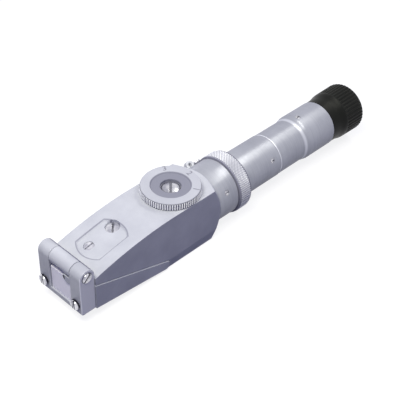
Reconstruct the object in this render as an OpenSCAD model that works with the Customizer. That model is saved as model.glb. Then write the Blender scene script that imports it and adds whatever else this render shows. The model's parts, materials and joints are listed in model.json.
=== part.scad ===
// Handheld refractometer with three ranges, lying on its flat bottom.
// X runs from the window end to the eyepiece, Y to the far side and Z up.
// The origin is on the table, straight below the axis of the range dial.

/* [Fits and heights] */
// Height of the knurled ring above the table
ring_lift = 0.1; // [0.05:0.05:0.3]
// Radial clearance of a piece in its bore
fit = 0.05; // [0.02:0.01:0.08]
// Gap between faces that move past each other
gap = 0.3; // [0.2:0.05:0.4]

/* [Housing] */
// Distance of the housing's sides inside the collar
body_in = 0.2; // [0.1:0.1:0.4]
// Distance of the housing's flat top below the top of the collar
top_in = 0; // [0:0.1:0.4]
// Length of the housing ahead of the dial axis
front_len = 60.6; // [60:0.2:64]
// Distance from the dial axis forward to the step where the lid ends
step_len = 14.5; // [14:0.1:15]
// Length of the housing behind the dial axis
rear_len = 20; // [19.6:0.1:22]
// Angle between the optical axis and the turned rear end
rear_angle = 53; // [48:1:58]
// Drop of the top from the flat part to the front end
crown_fall = 7.26; // [7:0.05:7.6]
// Distance from the dial axis forward to where that curve starts
crown_start = 10; // [6:0.5:12]
// Height of the slanted edge along the bottom
skirt_h = 5.8; // [3:0.1:6]
// Depth of the slanted edge along the bottom
skirt_in = 0.9; // [0.6:0.1:1.3]
// Thickness of the top over the turret
top_wall = 2.8; // [2.4:0.1:3.2]
// Thickness of the side walls beside the turret
side_wall = 2.8; // [2.6:0.1:3]
// Radius of the light passage
light_r = 6; // [5:0.1:6.5]

/* [Parting plane and measuring prism] */
// Height of the lid's rear end
lid_rear_h = 4.1; // [3.8:0.1:4.4]
// Distance from the hinge's neck down to the parting plane
neck_gap = 0.5; // [0.4:0.1:0.8]
// Thickness of the housing ahead of the prism pocket
pocket_front_wall = 6.6; // [6:0.1:7]
// Distance from the step to the rear wall of the prism pocket
pocket_back = 5.5; // [5:0.1:6]
// Thickness of the housing over the pocket's front wall
pocket_front_roof = 3.5; // [3.3:0.1:3.8]
// Thickness of the housing over the pocket's rear wall
pocket_rear_roof = 5.3; // [5:0.1:5.6]
// Thickness of the housing beside the prism pocket
pocket_side = 4.6; // [4.2:0.1:5]
// Thickness of the prism mount beside the prism
mount_wall = 2; // [1.8:0.1:2.4]
// Distance from the pocket's front wall to the prism's front edge
prism_front_margin = 2; // [1.6:0.1:2.4]
// Distance from the pocket's rear wall to the prism's rear face
prism_rear_margin = 2; // [1.6:0.1:2.4]
// Fall of the prism's top from its rear edge to the bevel
prism_fall = 0.5; // [0.3:0.1:0.8]
// Length of the bevel at the prism's front
prism_bevel = 7; // [6.6:0.1:7.4]
// Thickness of the prism's gasket
gasket_t = 1.2; // [1:0.1:1.4]
// Thickness of the bridge over the prism
bridge_t = 1.5; // [1.2:0.1:1.6]
// Gap between the bridge and the housing over its front edge
bridge_gap = 0.35; // [0.3:0.05:0.5]
// Distance of the prism mount's ends inside the prism's ends
mount_margin = 1; // [0.8:0.1:1.4]

/* [Top recess and its screws] */
// Distance from the housing's front to the centre of the recess
recess_back = 16.8; // [16:0.1:17.6]
// Length of the recess, which is the diameter of its round ends
recess_d = 24.4; // [23.6:0.1:25]
// Width of the recess
recess_w = 16.8; // [16:0.1:17.6]
// Depth of the recess
recess_depth = 1.2; // [0.9:0.1:1.3]
// Width of the recess's sloping wall
recess_slope = 1; // [0.6:0.1:1.4]
// Distance of the adjusting screw behind the recess's centre
adjust_back = 8.6; // [8:0.1:9]
// Distance of both recess screws to the far side
screw_aside = 2.5; // [2:0.1:3]
// Diameter of the adjusting screw's hole
adjust_d = 7.2; // [6.6:0.1:7.6]
// Depth of the adjusting screw's top below the recess floor
adjust_sunk = 1; // [0.6:0.1:1.2]
// Thickness of the adjusting screw's head
adjust_head_t = 3; // [2.6:0.1:3.2]
// Length of the adjusting screw's stem
adjust_stem_len = 1.7; // [1.4:0.1:1.8]
// Diameter of the adjusting screw's stem
adjust_stem_d = 3; // [2.6:0.1:3.4]
// Width of the adjusting screw's slot
adjust_slot_w = 1; // [0.8:0.1:1.4]
// Depth of the adjusting screw's slot
adjust_slot_depth = 1.2; // [0.8:0.1:1.6]
// Distance of the clamp screw ahead of the recess's centre
clamp_ahead = 6.2; // [5.8:0.1:6.6]
// Diameter of the clamp screw's head
clamp_d = 5; // [4.6:0.1:5.2]
// Height of the clamp screw's head
clamp_head_t = 1.6; // [1.4:0.1:1.8]
// Depth of the clamp screw's head below the recess floor
clamp_sunk = 0.3; // [0.2:0.05:0.4]
// Diameter of the clamp screw's stem
clamp_stem_d = 2.4; // [2:0.1:2.6]
// Length of the clamp screw's stem
clamp_stem_len = 2.4; // [2.2:0.1:2.5]
// Width of the clamp screw's slot
clamp_slot_w = 0.8; // [0.6:0.1:1]
// Depth of the clamp screw's slot
clamp_slot_depth = 0.8; // [0.6:0.1:1]

/* [Hinge and front bracket] */
// Diameter of the hinge barrel, which is also the bracket's depth
barrel_d = 8.4; // [8:0.1:8.8]
// Distance of the hinge axis below the housing's flat top
hinge_drop = 3.8; // [3.6:0.1:4]
// Distance of the bracket's sides inside the housing's sides
bracket_in = 0.1; // [0:0.05:0.4]
// Width of each of the bracket's two legs
leg_w = 7.5; // [7.2:0.1:7.8]
// Distance of the bracket's lower end above the lid's
bracket_up = 0.4; // [0.3:0.1:0.6]
// Height of the bar that joins the legs
bar_h = 3.1; // [2.8:0.1:3.4]
// Size of the bevel on the bracket's lower edges
bracket_bevel = 0.8; // [0.5:0.1:1]
// Height of the neck between the housing and its hinge knuckle
neck_h = 3; // [2.6:0.1:3.2]
// Diameter of the hinge pin
pin_d = 3; // [2.6:0.1:3.2]
// Diameter of the hinge pin's head
pin_head_d = 5.2; // [4.8:0.1:5.6]
// Height of the hinge pin's head
pin_head_h = 1.6; // [1.4:0.1:1.8]
// Height of the hinge pin's head outside the bracket
pin_head_proud = 0.4; // [0.3:0.1:0.5]
// Distance of the bracket screws inside the bracket's sides
bracket_screw_in = 3.6; // [3.5:0.05:3.75]
// Height of the bracket screws above the bracket's lower end
bracket_screw_up = 5.9; // [5.6:0.1:6.2]
// Diameter of the bracket screws' heads
bracket_head_d = 5.4; // [5:0.1:5.6]
// Height of the bracket screws' heads
bracket_head_h = 1.8; // [1.4:0.1:2]
// Diameter of the bracket screws
bracket_screw_d = 2.5; // [2.2:0.1:2.6]
// Length of the bracket screws below their heads
bracket_screw_len = 14; // [12:0.5:15]
// Width of the slots in the hinge pin and the bracket screws
slot_w = 0.8; // [0.6:0.1:1]
// Depth of the slots in the hinge pin and the bracket screws
slot_depth = 0.8; // [0.6:0.1:1]
// Angle at which the slots of the pin, the adjusting screw and the dial screw stand
rest_turn = 45; // [0:5:90]

/* [Lid] */
// Height of the lid's front end above the table
lid_front_lift = 5.7; // [5.5:0.1:6]
// Height of the lid's rear end above the table
lid_rear_lift = 1.2; // [1:0.1:1.4]
// Gap between the lid's rear end and the housing's step
lid_end_gap = 0.6; // [0.4:0.1:0.8]
// Radius of the lid's rear lower edge
lid_end_r = 2; // [1.4:0.1:2.4]
// Thickness of the lid's floor
lid_floor = 2.2; // [2:0.1:2.4]
// Thickness of the lid's front wall
lid_front_wall = 2.3; // [2:0.1:2.6]
// Length of the solid rear end of the lid
lid_rear_solid = 7; // [6:0.1:8]
// Distance that the lid reaches beyond each of the housing's sides
lid_over = 0.3; // [0:0.05:0.4]
// Gap between the lid's face and the housing
lid_gap = 0.1; // [0.05:0.05:0.3]
// Thickness of the lid's sides
lid_side = 5.8; // [5.5:0.1:6.1]
// Height of the rim over the lid's light opening
port_rim = 1.2; // [1:0.1:1.4]
// Distance of the illuminating prism's face below the lid's face
face_sunk = 0.1; // [0.05:0.01:0.2]

/* [Window] */
// Distance of the window plate behind the bracket's front
window_inset = 1; // [0.8:0.1:1.2]
// Thickness of the window plate
window_t = 2; // [1.8:0.1:2.4]
// Gap between the window plate and the hinge barrel
window_gap = 0.8; // [0.6:0.1:1]
// Radius of the round clip at the window's top corner
clip_r = 3.1; // [2.8:0.1:3.3]
// Distance of the clip's centre from the bracket's leg
clip_in = 2.1; // [1.9:0.1:2.3]
// Height of the clip's centre above the window plate
clip_rise = 0.7; // [0.4:0.1:0.8]
// Height of the clip's flat top above its centre
clip_head = 1; // [0.8:0.1:1.1]
// Thickness of the clip
clip_t = 0.5; // [0.4:0.1:0.7]

/* [Range dial] */
// Distance that the dial reaches beyond the housing's sides
dial_over = 0.3; // [0.2:0.05:0.5]
// Thickness of the dial
dial_t = 3.9; // [3.7:0.1:4.2]
// Number of grooves in the dial's edge
dial_grooves = 104; // [80:4:120]
// Depth of these grooves
dial_groove_depth = 0.35; // [0.25:0.05:0.45]
// Height of the plain band over the grooves
dial_top_band = 0.5; // [0.4:0.1:0.7]
// Height of the plain band under the grooves
dial_low_band = 0.3; // [0.2:0.1:0.4]
// Width of the rim around the dial's dish
rim_w = 4.9; // [4.7:0.1:5.1]
// Depth of the dish
dish_depth = 0.8; // [0.6:0.1:0.9]
// Width of the dish's sloping wall
dish_slope = 0.6; // [0.4:0.1:0.8]
// Diameter of the hole for the dial screw's head
dial_hole_d = 10.4; // [10:0.1:10.8]
// Depth of that hole below the dish
dial_hole_depth = 1.5; // [1.4:0.1:1.6]
// Diameter of the dial screw's head
dial_screw_head_d = 9.4; // [9:0.1:9.8]
// Height of the dial screw's head
dial_screw_head_h = 1.1; // [0.9:0.1:1.2]
// Radius of the dial screw's domed top
dial_screw_dome_r = 14; // [13:0.5:20]
// Diameter of the dial screw
dial_screw_d = 2.5; // [2.2:0.1:2.8]
// Length of the dial screw below its head
dial_screw_len = 6; // [5:0.1:6.4]
// Width of the dial screw's slot
dial_slot_w = 1.2; // [1:0.1:1.4]
// Depth of the dial screw's slot
dial_slot_depth = 0.7; // [0.5:0.1:0.8]

/* [Spindle and turret] */
// Diameter of the dial's spindle
spindle_d = 6; // [5.6:0.1:6.4]
// Width of the spindle's square end in the dial
spindle_square = 3.8; // [3.6:0.1:4]
// Outer diameter of the spindle's bush
bush_d = 9.2; // [8.8:0.1:9.6]
// Diameter of the bush's flange
bush_flange_d = 12; // [11.4:0.1:12.6]
// Thickness of the bush's flange
bush_flange_t = 1; // [0.8:0.1:1.2]
// Distance from the bush's flange to the turret
turret_drop = 2.6; // [2.3:0.1:3]
// Clearance between the turret's corners and the housing
turret_gap = 0.8; // [0.6:0.1:1.2]
// Share of the turret's size taken by its hollow
hollow_share = 0.59; // [0.57:0.01:0.6]
// Thickness of the turret's top and bottom
turret_plate_t = 2; // [1.8:0.1:2.2]
// Share of the turret's size taken by each light hole
port_share = 0.285; // [0.25:0.005:0.29]
// Share of the turret's size taken by the wedge prisms' width
wedge_share = 0.75; // [0.7:0.01:0.76]
// Share of the turret's size taken by the prisms' thin edges
thin_share = 0.11; // [0.09:0.01:0.12]
// Share of the turret's size taken by the prisms' thick edges
thick_share = 0.18; // [0.16:0.01:0.185]
// Angle between two positions of the turret
turret_step = 60; // [60:60:60]
// Diameter of the spindle's end in the turret
tail_d = 4.6; // [4.2:0.1:5]
// Diameter of the nut under the turret's top
nut_d = 8; // [7:0.1:8.4]
// Thickness of that nut
nut_t = 1.8; // [1.4:0.1:2]
// Diameter of the turret's lower pivot
pivot_d = 4; // [3.6:0.1:4.4]
// Length of the turret's lower pivot
pivot_len = 3.4; // [3:0.1:3.6]
// Diameter of the detent ball
ball_d = 2.2; // [2:0.1:2.4]
// Height of the ball above the housing's top
ball_proud = 0.2; // [0.1:0.05:0.25]
// Distance of the detent ball outside the turret's space
ball_out = 1.5; // [1.4:0.05:1.55]
// Angle of the ball around the dial axis
ball_angle = 45; // [40:1:50]
// Length of the detent spring
detent_len = 4; // [3:0.1:4.6]
// Wire thickness of the detent spring
detent_wire = 0.4; // [0.3:0.05:0.45]
// Width of the bottom cover's ledge
cover_ledge = 0.7; // [0.5:0.1:0.9]
// Thickness of the bottom cover
cover_t = 2.2; // [2:0.1:2.4]
// Diameter of the pivot boss on the bottom cover
boss_d = 8; // [7:0.1:9]
// Diameter of the two spanner holes in the bottom cover
spanner_d = 2.4; // [2:0.1:2.8]
// Distance of the spanner holes inside the cover's edge
spanner_in = 3.7; // [3.3:0.1:4.2]
// Depth of the spanner holes
spanner_depth = 1.4; // [1:0.1:1.6]

/* [Collar and lock ring] */
// Thickness of the collar around the telescope tube
collar_wall = 3; // [2.8:0.1:3.1]
// Length of the collar
collar_len = 13.3; // [13:0.1:13.8]
// Height of the step from the collar to its spigot
spigot_step = 2.5; // [2.4:0.1:2.7]
// Length of the collar's spigot
spigot_len = 6.4; // [6:0.1:6.6]
// Thickness of the collar's spigot
spigot_wall = 3; // [2.5:0.1:3.4]
// Distance from the collar's front face to the tube's seat
seat_depth = 2; // [1.6:0.1:2.4]
// Bevel on the collar's rear edge
collar_bevel = 0.4; // [0.3:0.1:0.6]
// Thickness of the knurled lock ring
ring_wall = 4.1; // [4:0.1:4.2]
// Length of the knurled lock ring
ring_len = 7.8; // [7.4:0.1:8.2]
// Bevel on the lock ring's edges
ring_bevel = 0.9; // [0.6:0.1:1.2]
// Gap between the collar and the lock ring
ring_gap = 0.4; // [0.3:0.05:0.5]
// Diameter of the grub screws
grub_d = 2.6; // [2.4:0.1:2.8]
// Width of the grub screws' slots
grub_slot_w = 0.5; // [0.4:0.1:0.6]
// Depth of the grub screws' slots
grub_slot_depth = 0.6; // [0.5:0.1:0.7]
// Distance from the collar's front face to its grub screws
collar_grub_back = 6; // [5.6:0.1:6.4]
// Angle of the first grub screw around the optical axis
grub_angle = 152; // [150:1:154]
// Number of grub screws around the collar
collar_grub_count = 2; // [1:1:2]
// Number of grub screws around the tube
tube_grub_count = 3; // [2:1:4]

/* [Strap lug] */
// Angle of the strap lug around the optical axis
lug_angle = 36; // [34:1:38]
// Depth of the lug's seat in the collar
lug_sunk = 1.6; // [1.4:0.1:1.7]
// Length of the lug's foot
lug_len = 10; // [9.8:0.1:10.1]
// Width of the lug's foot
lug_w = 6; // [5.4:0.1:6.6]
// Thickness of the lug's foot
lug_t = 1.2; // [1.1:0.1:1.4]
// Distance from the collar's front face to the lug
lug_back = 3.1; // [2.8:0.1:3.2]
// Length of the lug's eye
eye_len = 4.6; // [4.4:0.1:4.7]
// Height of the lug's eye above its foot
eye_h = 3.7; // [3.6:0.1:4.1]
// Thickness of the lug's eye
eye_t = 3; // [2.8:0.1:3.2]
// Diameter of the hole in the lug's eye
eye_hole_d = 2; // [1.8:0.1:2.1]
// Distance from the lug's rear end to its screw
lug_screw_ahead = 3; // [2.8:0.1:3.2]
// Diameter of the lug screw's head
lug_head_d = 4.8; // [4.4:0.1:5]
// Height of the lug screw's head
lug_head_h = 1.6; // [1.4:0.1:1.8]
// Diameter of the lug screw
lug_screw_d = 2; // [1.8:0.1:2.2]
// Length of the lug screw below its head
lug_screw_len = 2.2; // [2:0.1:2.3]

/* [Telescope tube] */
// Outer diameter of the telescope tube
tube_d = 24; // [23.8:0.1:24.2]
// Thickness of the telescope tube
tube_wall = 1.8; // [1.7:0.1:1.9]
// Distance from the dial axis to the rear end of the telescope tube
tube_end = 69.2; // [68.6:0.1:70]
// Distance from the tube's end to its grub screws
tube_grub_ahead = 6; // [5.6:0.1:6.4]
// Thickness of the objective cell around the lens
cell_wall = 2; // [1.8:0.1:2.2]
// Thickness of the objective lens at its edge
objective_edge = 2.4; // [2.2:0.1:2.6]
// Radius of the objective lens's two faces
objective_r = 38; // [34:1:44]
// Distance from the tube's front end to the objective cell
cell_back = 4; // [3.4:0.1:4.6]
// Length of the objective cell
cell_len = 8; // [7.6:0.1:8.6]
// Distance from the cell's front to the lens's edge
cell_seat = 2.6; // [2.4:0.1:2.8]
// Width of the ledge that each lens rests on
ledge = 1; // [0.8:0.1:1.2]
// Length of the objective's retaining ring
retainer_len = 1.8; // [1.6:0.1:2]

/* [Eyepiece tube] */
// Depth of the step between the two tubes
mid_in = 0.2; // [0.1:0.05:0.3]
// Length of the eyepiece tube's front part
mid_len = 18.9; // [18.4:0.1:19.2]
// Length of the cone between the two parts
cone_len = 4.4; // [4:0.1:4.8]
// Height of the cone between the two parts
holder_rise = 0.95; // [0.85:0.05:1.1]
// Length of the eyepiece tube's rear part
holder_len = 19.4; // [19:0.1:19.8]
// Length of the plug that holds the eyepiece tube in the telescope tube
plug_len = 9; // [8.6:0.1:9.4]
// Thickness of the eyepiece tube's front part
mid_wall = 2.8; // [2.7:0.1:3]
// Width of the joint between the two tubes
joint_gap = 0.2; // [0.15:0.05:0.3]
// Bevel on the tubes' ends
tube_bevel = 0.3; // [0.2:0.05:0.4]
// Distance from the plug's front to the reticle cell
reticle_back = 9; // [8:0.1:10]
// Length of the reticle cell
reticle_len = 5; // [4.6:0.1:5.4]
// Thickness of the reticle plate
reticle_t = 1.5; // [1.2:0.1:1.8]
// Thickness of the reticle cell around its plate
reticle_wall = 1.3; // [1.2:0.1:1.5]
// Depth of the reticle plate's seat in its cell
reticle_seat = 3; // [2.6:0.1:3.2]

/* [Focusing sleeve] */
// Travel of the focusing sleeve
focus_travel = 4; // [3:0.1:4.2]
// Thickness of the eyepiece tube around the sleeve
holder_wall = 1.85; // [1.75:0.05:1.95]
// Thickness of the focusing sleeve's front part
sleeve_wall = 1.5; // [1.4:0.1:1.6]
// Length of the focusing sleeve inside the tube
sleeve_in = 23.2; // [22.9:0.1:23.6]
// Length of the focusing sleeve behind the tube
sleeve_out = 14.2; // [14:0.1:14.6]
// Distance from the cone's end to the guide screw
guide_back = 1.9; // [1.6:0.1:2.2]
// Diameter of the guide screw's head
guide_d = 2.8; // [2.6:0.1:3]
// Diameter of the guide screw's tip
guide_tip_d = 1.6; // [1.4:0.1:1.8]
// Length of the guide screw's tip in the sleeve's groove
guide_tip_len = 0.8; // [0.6:0.1:0.9]
// Clearance around the guide screw's tip
guide_clear = 0.3; // [0.2:0.05:0.4]
// Thickness of the focusing sleeve around its lenses
lens_wall = 2.4; // [2.2:0.1:2.6]
// Thickness of the lenses at their edge
lens_edge = 1.8; // [1.6:0.1:2]
// Radius of the lenses' curved faces
lens_r = 22; // [20:0.5:26]
// Distance from the sleeve's front to the field lens
field_back = 8; // [7.6:0.1:8.6]
// Thickness of the ledge in front of the field lens
stop_t = 1.6; // [1.4:0.1:1.8]
// Distance from the sleeve's rear to the eye lens
eye_ahead = 4.6; // [4.4:0.1:5]
// Wall of the lens spacer
spacer_wall = 0.8; // [0.6:0.1:0.9]
// Distance of the lens retainer's flange outside the sleeve
flange_rise = 0.7; // [0.6:0.05:0.8]
// Thickness of the lens retainer's flange
flange_t = 1.2; // [1:0.1:1.4]
// Width of the lens retainer's ring
view_in = 1.5; // [1.3:0.1:2]

/* [Eyecup] */
// Gap between the eyepiece tube and the eyecup
cup_gap = 0.3; // [0.2:0.05:0.4]
// Thickness of the eyecup's core
core_wall = 1.1; // [1:0.05:1.15]
// Length of the eyecup's core
core_len = 13.5; // [13.3:0.05:13.6]
// Length of the eyecup
cup_len = 24.9; // [24.5:0.1:25.4]
// Thickness of the eyecup's neck around the core
neck_wall = 0.45; // [0.4:0.05:0.55]
// Height of the slope along the eyecup's neck
band_rise = 0.2; // [0.1:0.05:0.3]
// Length of the eyecup's smooth neck
neck_len = 5; // [4.6:0.1:5.4]
// Length from the eyecup's front to the end of its shoulder
band_len = 10.6; // [10:0.1:11]
// Height of the eyecup's shoulder
shoulder_rise = 0.95; // [0.8:0.05:1.05]
// Height of the slope along the eyecup's ribbed part
cup_flare = 0.2; // [0.1:0.05:0.3]
// Radius of the eyecup's rear edge
cup_edge_r = 2; // [1.6:0.1:2.2]
// Number of ribs on the eyecup
cup_ribs = 44; // [36:2:48]
// Depth of the grooves between the ribs
cup_groove_depth = 0.5; // [0.4:0.05:0.6]
// Width of the grooves between the ribs
cup_groove_w = 0.8; // [0.6:0.1:0.9]
// Width of the eyecup's rear edge
mouth_wall = 2.6; // [2.4:0.1:3]
// Width of the cone in the eyecup's mouth
floor_w = 2.4; // [2:0.1:2.7]
// Distance from the eyecup's rear end to its floor
cup_depth = 6.6; // [6.2:0.1:6.8]
// Thickness of the eyecup's floor
cup_floor_t = 1.4; // [1.2:0.1:1.5]

/* [Hidden] */
$fn = 96;
// Overrun of every cut
over = 1;
grow_share = 0.2;
edge_steps = 12;

// Sizes that follow from the tube's diameter
collar_d = tube_d + 2 * collar_wall;
spigot_d = collar_d - 2 * spigot_step;
spigot_bore = spigot_d - 2 * spigot_wall;
ring_d = tube_d + 2 * ring_wall;
lug_seat = collar_d / 2 - lug_sunk;
tube_bore = tube_d - 2 * tube_wall;
objective_d = tube_bore - 2 * cell_wall;
mid_d = tube_d - 2 * mid_in;
mid_bore = mid_d - 2 * mid_wall;
reticle_d = mid_bore - 2 * reticle_wall;
holder_d = mid_d + 2 * holder_rise;
sleeve_d = holder_d - 2 * holder_wall;
sleeve_bore = sleeve_d - 2 * sleeve_wall;
lens_d = sleeve_d - 2 * lens_wall;
view_d = lens_d - 2 * view_in;
flange_d = sleeve_d + 2 * flange_rise;
core_d = sleeve_d + 2 * core_wall;
neck_d = core_d + 2 * neck_wall;
band_d = neck_d + 2 * band_rise;
cup_d = band_d + 2 * shoulder_rise;
cup_rear_d = cup_d + 2 * cup_flare;
mouth_d = cup_rear_d - 2 * mouth_wall;
floor_d = mouth_d - 2 * floor_w;

// Sizes of the housing, its lid and its dial
axis_h = ring_d / 2 + ring_lift;
body_w = collar_d - 2 * body_in;
body_top = collar_d / 2 - top_in;
crown_run = front_len - crown_start;
crown_r = (crown_run * crown_run + crown_fall * crown_fall) / (2 * crown_fall);
bay_r = body_w / 2 - side_wall;
bay_top = body_top - top_wall;
hinge_h = body_top - hinge_drop;
window_top = hinge_h - barrel_d / 2 - window_gap;
parting_h = hinge_h - barrel_d / 2 - neck_h - neck_gap;
lid_front_drop = axis_h - lid_front_lift;
lid_rear_drop = axis_h - lid_rear_lift;
prism_angle = atan((parting_h + lid_rear_drop - lid_rear_h) / (front_len - step_len));
bracket_w = body_w - 2 * bracket_in;
bracket_drop = lid_front_drop - bracket_up;
bracket_screw_y = bracket_w / 2 - bracket_screw_in;
bracket_screw_drop = bracket_drop - bracket_screw_up;
lid_w = body_w + 2 * lid_over;
lid_pocket_w = lid_w - 2 * lid_side;
pocket_front = front_len - pocket_front_wall;
pocket_rear = step_len + pocket_back;
pocket_front_h = crown_z(-pocket_front) - pocket_front_roof;
pocket_rear_h = crown_z(-pocket_rear) - pocket_rear_roof;
pocket_w = body_w - 2 * pocket_side;
prism_w = pocket_w - 2 * mount_wall;
recess_pos = front_len - recess_back;
dial_d = body_w + 2 * dial_over;
dish_d = dial_d - 2 * rim_w;
turret_h = bay_top - bush_flange_t - turret_drop;
turret_r = bay_r - turret_gap;
turret_hollow_r = hollow_share * turret_r;
turret_port_r = port_share * turret_r;
wedge_w = wedge_share * turret_r;
wedge_thin = thin_share * turret_r;
wedge_thick = thick_share * turret_r;
ball_ring_r = bay_r + ball_out;
cover_d = 2 * (bay_r + cover_ledge);
spanner_r = cover_d / 2 - spanner_in;

// Places that follow from the sizes above
hinge_x = -(front_len + gap + barrel_d / 2);
front_x = -(front_len + gap + barrel_d);
lid_front_x = -(front_len + gap);
lid_rear_x = -(step_len + lid_end_gap);
lid_edge = [lid_rear_x - lid_end_r, -lid_rear_drop + lid_end_r];
lid_reach = lid_edge - [lid_front_x, -lid_front_drop];
lid_angle = atan2(lid_reach[1], lid_reach[0]) - asin(lid_end_r / norm(lid_reach));
window_w = bracket_w - 2 * leg_w;
slot_floor = -bracket_drop + bar_h;
crown_angle = asin((recess_pos - crown_start) / crown_r);
dial_z = body_top + gap;
dial_floor = dial_z + dial_t - dish_depth - dial_hole_depth;
prism_front_x = -(pocket_front - prism_front_margin);
prism_rear_x = -(pocket_rear + prism_rear_margin);
mount_front_x = prism_front_x + mount_margin;
mount_rear_x = prism_rear_x - mount_margin;
prism_rear_h = pocket_roof_z(mount_front_x) - bridge_gap - bridge_t - fit;
prism_front_h = prism_rear_h - prism_fall;
collar_x = rear_len;
collar_end = collar_x + collar_len;
tube_x = collar_x + seat_depth;
ring_x = collar_end + ring_gap;
lug_x = collar_x + lug_back;
lug_screw_x = lug_x + lug_len - lug_screw_ahead;
cell_x = tube_x + cell_back;
mid_x = tube_end + joint_gap;
cone_x = mid_x + mid_len;
holder_x = cone_x + cone_len;
holder_end = holder_x + holder_len;
sleeve_x = holder_end - sleeve_in;
sleeve_end = holder_end + sleeve_out;
guide_x = holder_x + guide_back;
eye_lens_x = sleeve_end - eye_ahead;
field_lens_x = sleeve_x + field_back;
cup_x = holder_end + cup_gap;
cup_end = cup_x + cup_len;
reticle_x = tube_end - plug_len + reticle_back;

// Heights on the slanted and curved surfaces
function parting_z(x) = parting_h - (x + front_len) * tan(prism_angle);
function lid_face_z(x) = parting_z(x) - lid_gap / cos(prism_angle);
function crown_z(x) = body_top - crown_r + sqrt(crown_r * crown_r - (x + crown_start) * (x + crown_start));
function pocket_roof_z(x) =
    pocket_front_h + (x + pocket_front) * (pocket_rear_h - pocket_front_h) / (pocket_front - pocket_rear);
function lid_floor_z(x) = -lid_front_drop + lid_floor + (x - lid_front_x) * tan(lid_angle);

// Placing helpers
module at_axis() { translate([0, 0, axis_h]) children(); }
module side_profile(w) { rotate([90, 0, 0]) linear_extrude(height = w, center = true) children(); }
module turned() { rotate([0, 90, 0]) rotate_extrude() children(); }
module rod_x(x0, x1, d) { translate([x0, 0, 0]) rotate([0, 90, 0]) cylinder(h = x1 - x0, d = d); }
module rod_y(x, z, w, d) { translate([x, 0, z]) rotate([90, 0, 0]) cylinder(h = w, d = d, center = true); }
module pipe_x(x0, x1, d, bore) {
    difference() {
        rod_x(x0, x1, d);
        rod_x(x0 - over, x1 + over, bore);
    }
}
module on_recess(x, y) {
    translate([-recess_pos, 0, crown_z(-recess_pos)]) rotate([0, -crown_angle, 0]) translate([x, y, 0])
        children();
}
module on_parting(x) { translate([x, 0, parting_z(x)]) rotate([0, prism_angle, 0]) children(); }
module around(angle) { rotate([angle, 0, 0]) children(); }

// A slotted round head whose top is at zero height and whose body lies below
module slotted_head(d, h, w, depth) {
    difference() {
        translate([0, 0, -h]) cylinder(h = h, d = d);
        translate([-d, -w / 2, -depth]) cube([2 * d, w, depth + over]);
    }
}

// A lens on the optical axis with its edge from x0 to x0 + edge
module lens(x0, edge, d, r, front, rear) {
    bulge_d = d - 2 * ledge - 2 * fit;
    sag = r - sqrt(r * r - bulge_d * bulge_d / 4);
    rod_x(x0, x0 + edge, d);
    if (front) intersection() {
        rod_x(x0 - sag - over, x0 + edge / 2, bulge_d);
        translate([x0 - sag + r, 0, 0]) sphere(r = r, $fn = 240);
    }
    if (rear) intersection() {
        rod_x(x0 + edge / 2, x0 + edge + sag + over, bulge_d);
        translate([x0 + edge + sag - r, 0, 0]) rotate([0, 0, 180]) sphere(r = r, $fn = 240);
    }
}

// The clamp screw's hole, from the recess through the roof into the prism mount
module clamp_hole() {
    head_z = -recess_depth - clamp_sunk - clamp_head_t;
    translate([0, 0, head_z]) cylinder(h = body_top, d = clamp_d + 2 * fit);
    translate([0, 0, head_z - clamp_stem_len - fit])
        cylinder(h = body_top, d = clamp_stem_d + 2 * fit);
}

// Housing
module housing_outline() {
    difference() {
        union() {
            translate([-crown_start, -axis_h]) square([crown_start + rear_len, axis_h + body_top]);
            intersection() {
                translate([-front_len, -axis_h]) square([front_len - crown_start, axis_h + body_top]);
                translate([-crown_start, body_top - crown_r]) circle(r = crown_r);
            }
        }
        polygon([
            [-front_len - over, parting_z(-front_len - over)], [-step_len, parting_z(-step_len)],
            [-step_len, -axis_h - over], [-front_len - over, -axis_h - over]
        ]);
    }
}
module rear_taper() {
    corner_r = norm([body_w / 2, axis_h]);
    turned() polygon([
        [0, -front_len - over], [corner_r, -front_len - over],
        [corner_r, rear_len - (corner_r - collar_d / 2) / tan(rear_angle)],
        [collar_d / 2, rear_len], [0, rear_len]
    ]);
}
module skirt_cut() {
    high = [body_w / 2 + grow_share * skirt_in, -axis_h + (1 + grow_share) * skirt_h];
    low = [body_w / 2 - (1 + grow_share) * skirt_in, -axis_h - grow_share * skirt_h];
    translate([-front_len, 0, 0]) rotate([90, 0, 90]) linear_extrude(height = front_len + rear_len)
        polygon([high, low, [high[0], low[1]]]);
}
module recess_cut() {
    intersection() {
        translate([0, 0, -recess_depth])
            cylinder(h = recess_depth + over, d1 = recess_d - 2 * recess_slope,
                     d2 = recess_d + 2 * recess_slope * over / recess_depth);
        rotate([90, 0, 90]) linear_extrude(height = 2 * recess_d, center = true) polygon([
            [-recess_w / 2 + recess_slope, -recess_depth], [recess_w / 2 - recess_slope, -recess_depth],
            [recess_w / 2 + recess_slope * over / recess_depth, over],
            [-recess_w / 2 - recess_slope * over / recess_depth, over]
        ]);
    }
}
module knuckle() {
    width = window_w - gap;
    rod_y(hinge_x, hinge_h, width, barrel_d);
    side_profile(width) polygon([
        [hinge_x, hinge_h - barrel_d / 2], [-front_len, hinge_h - barrel_d / 2 - neck_h],
        [-front_len + over, hinge_h - barrel_d / 2 - neck_h], [-front_len + over, crown_z(-front_len)],
        [-front_len, crown_z(-front_len)], [hinge_x, hinge_h]
    ]);
}
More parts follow.
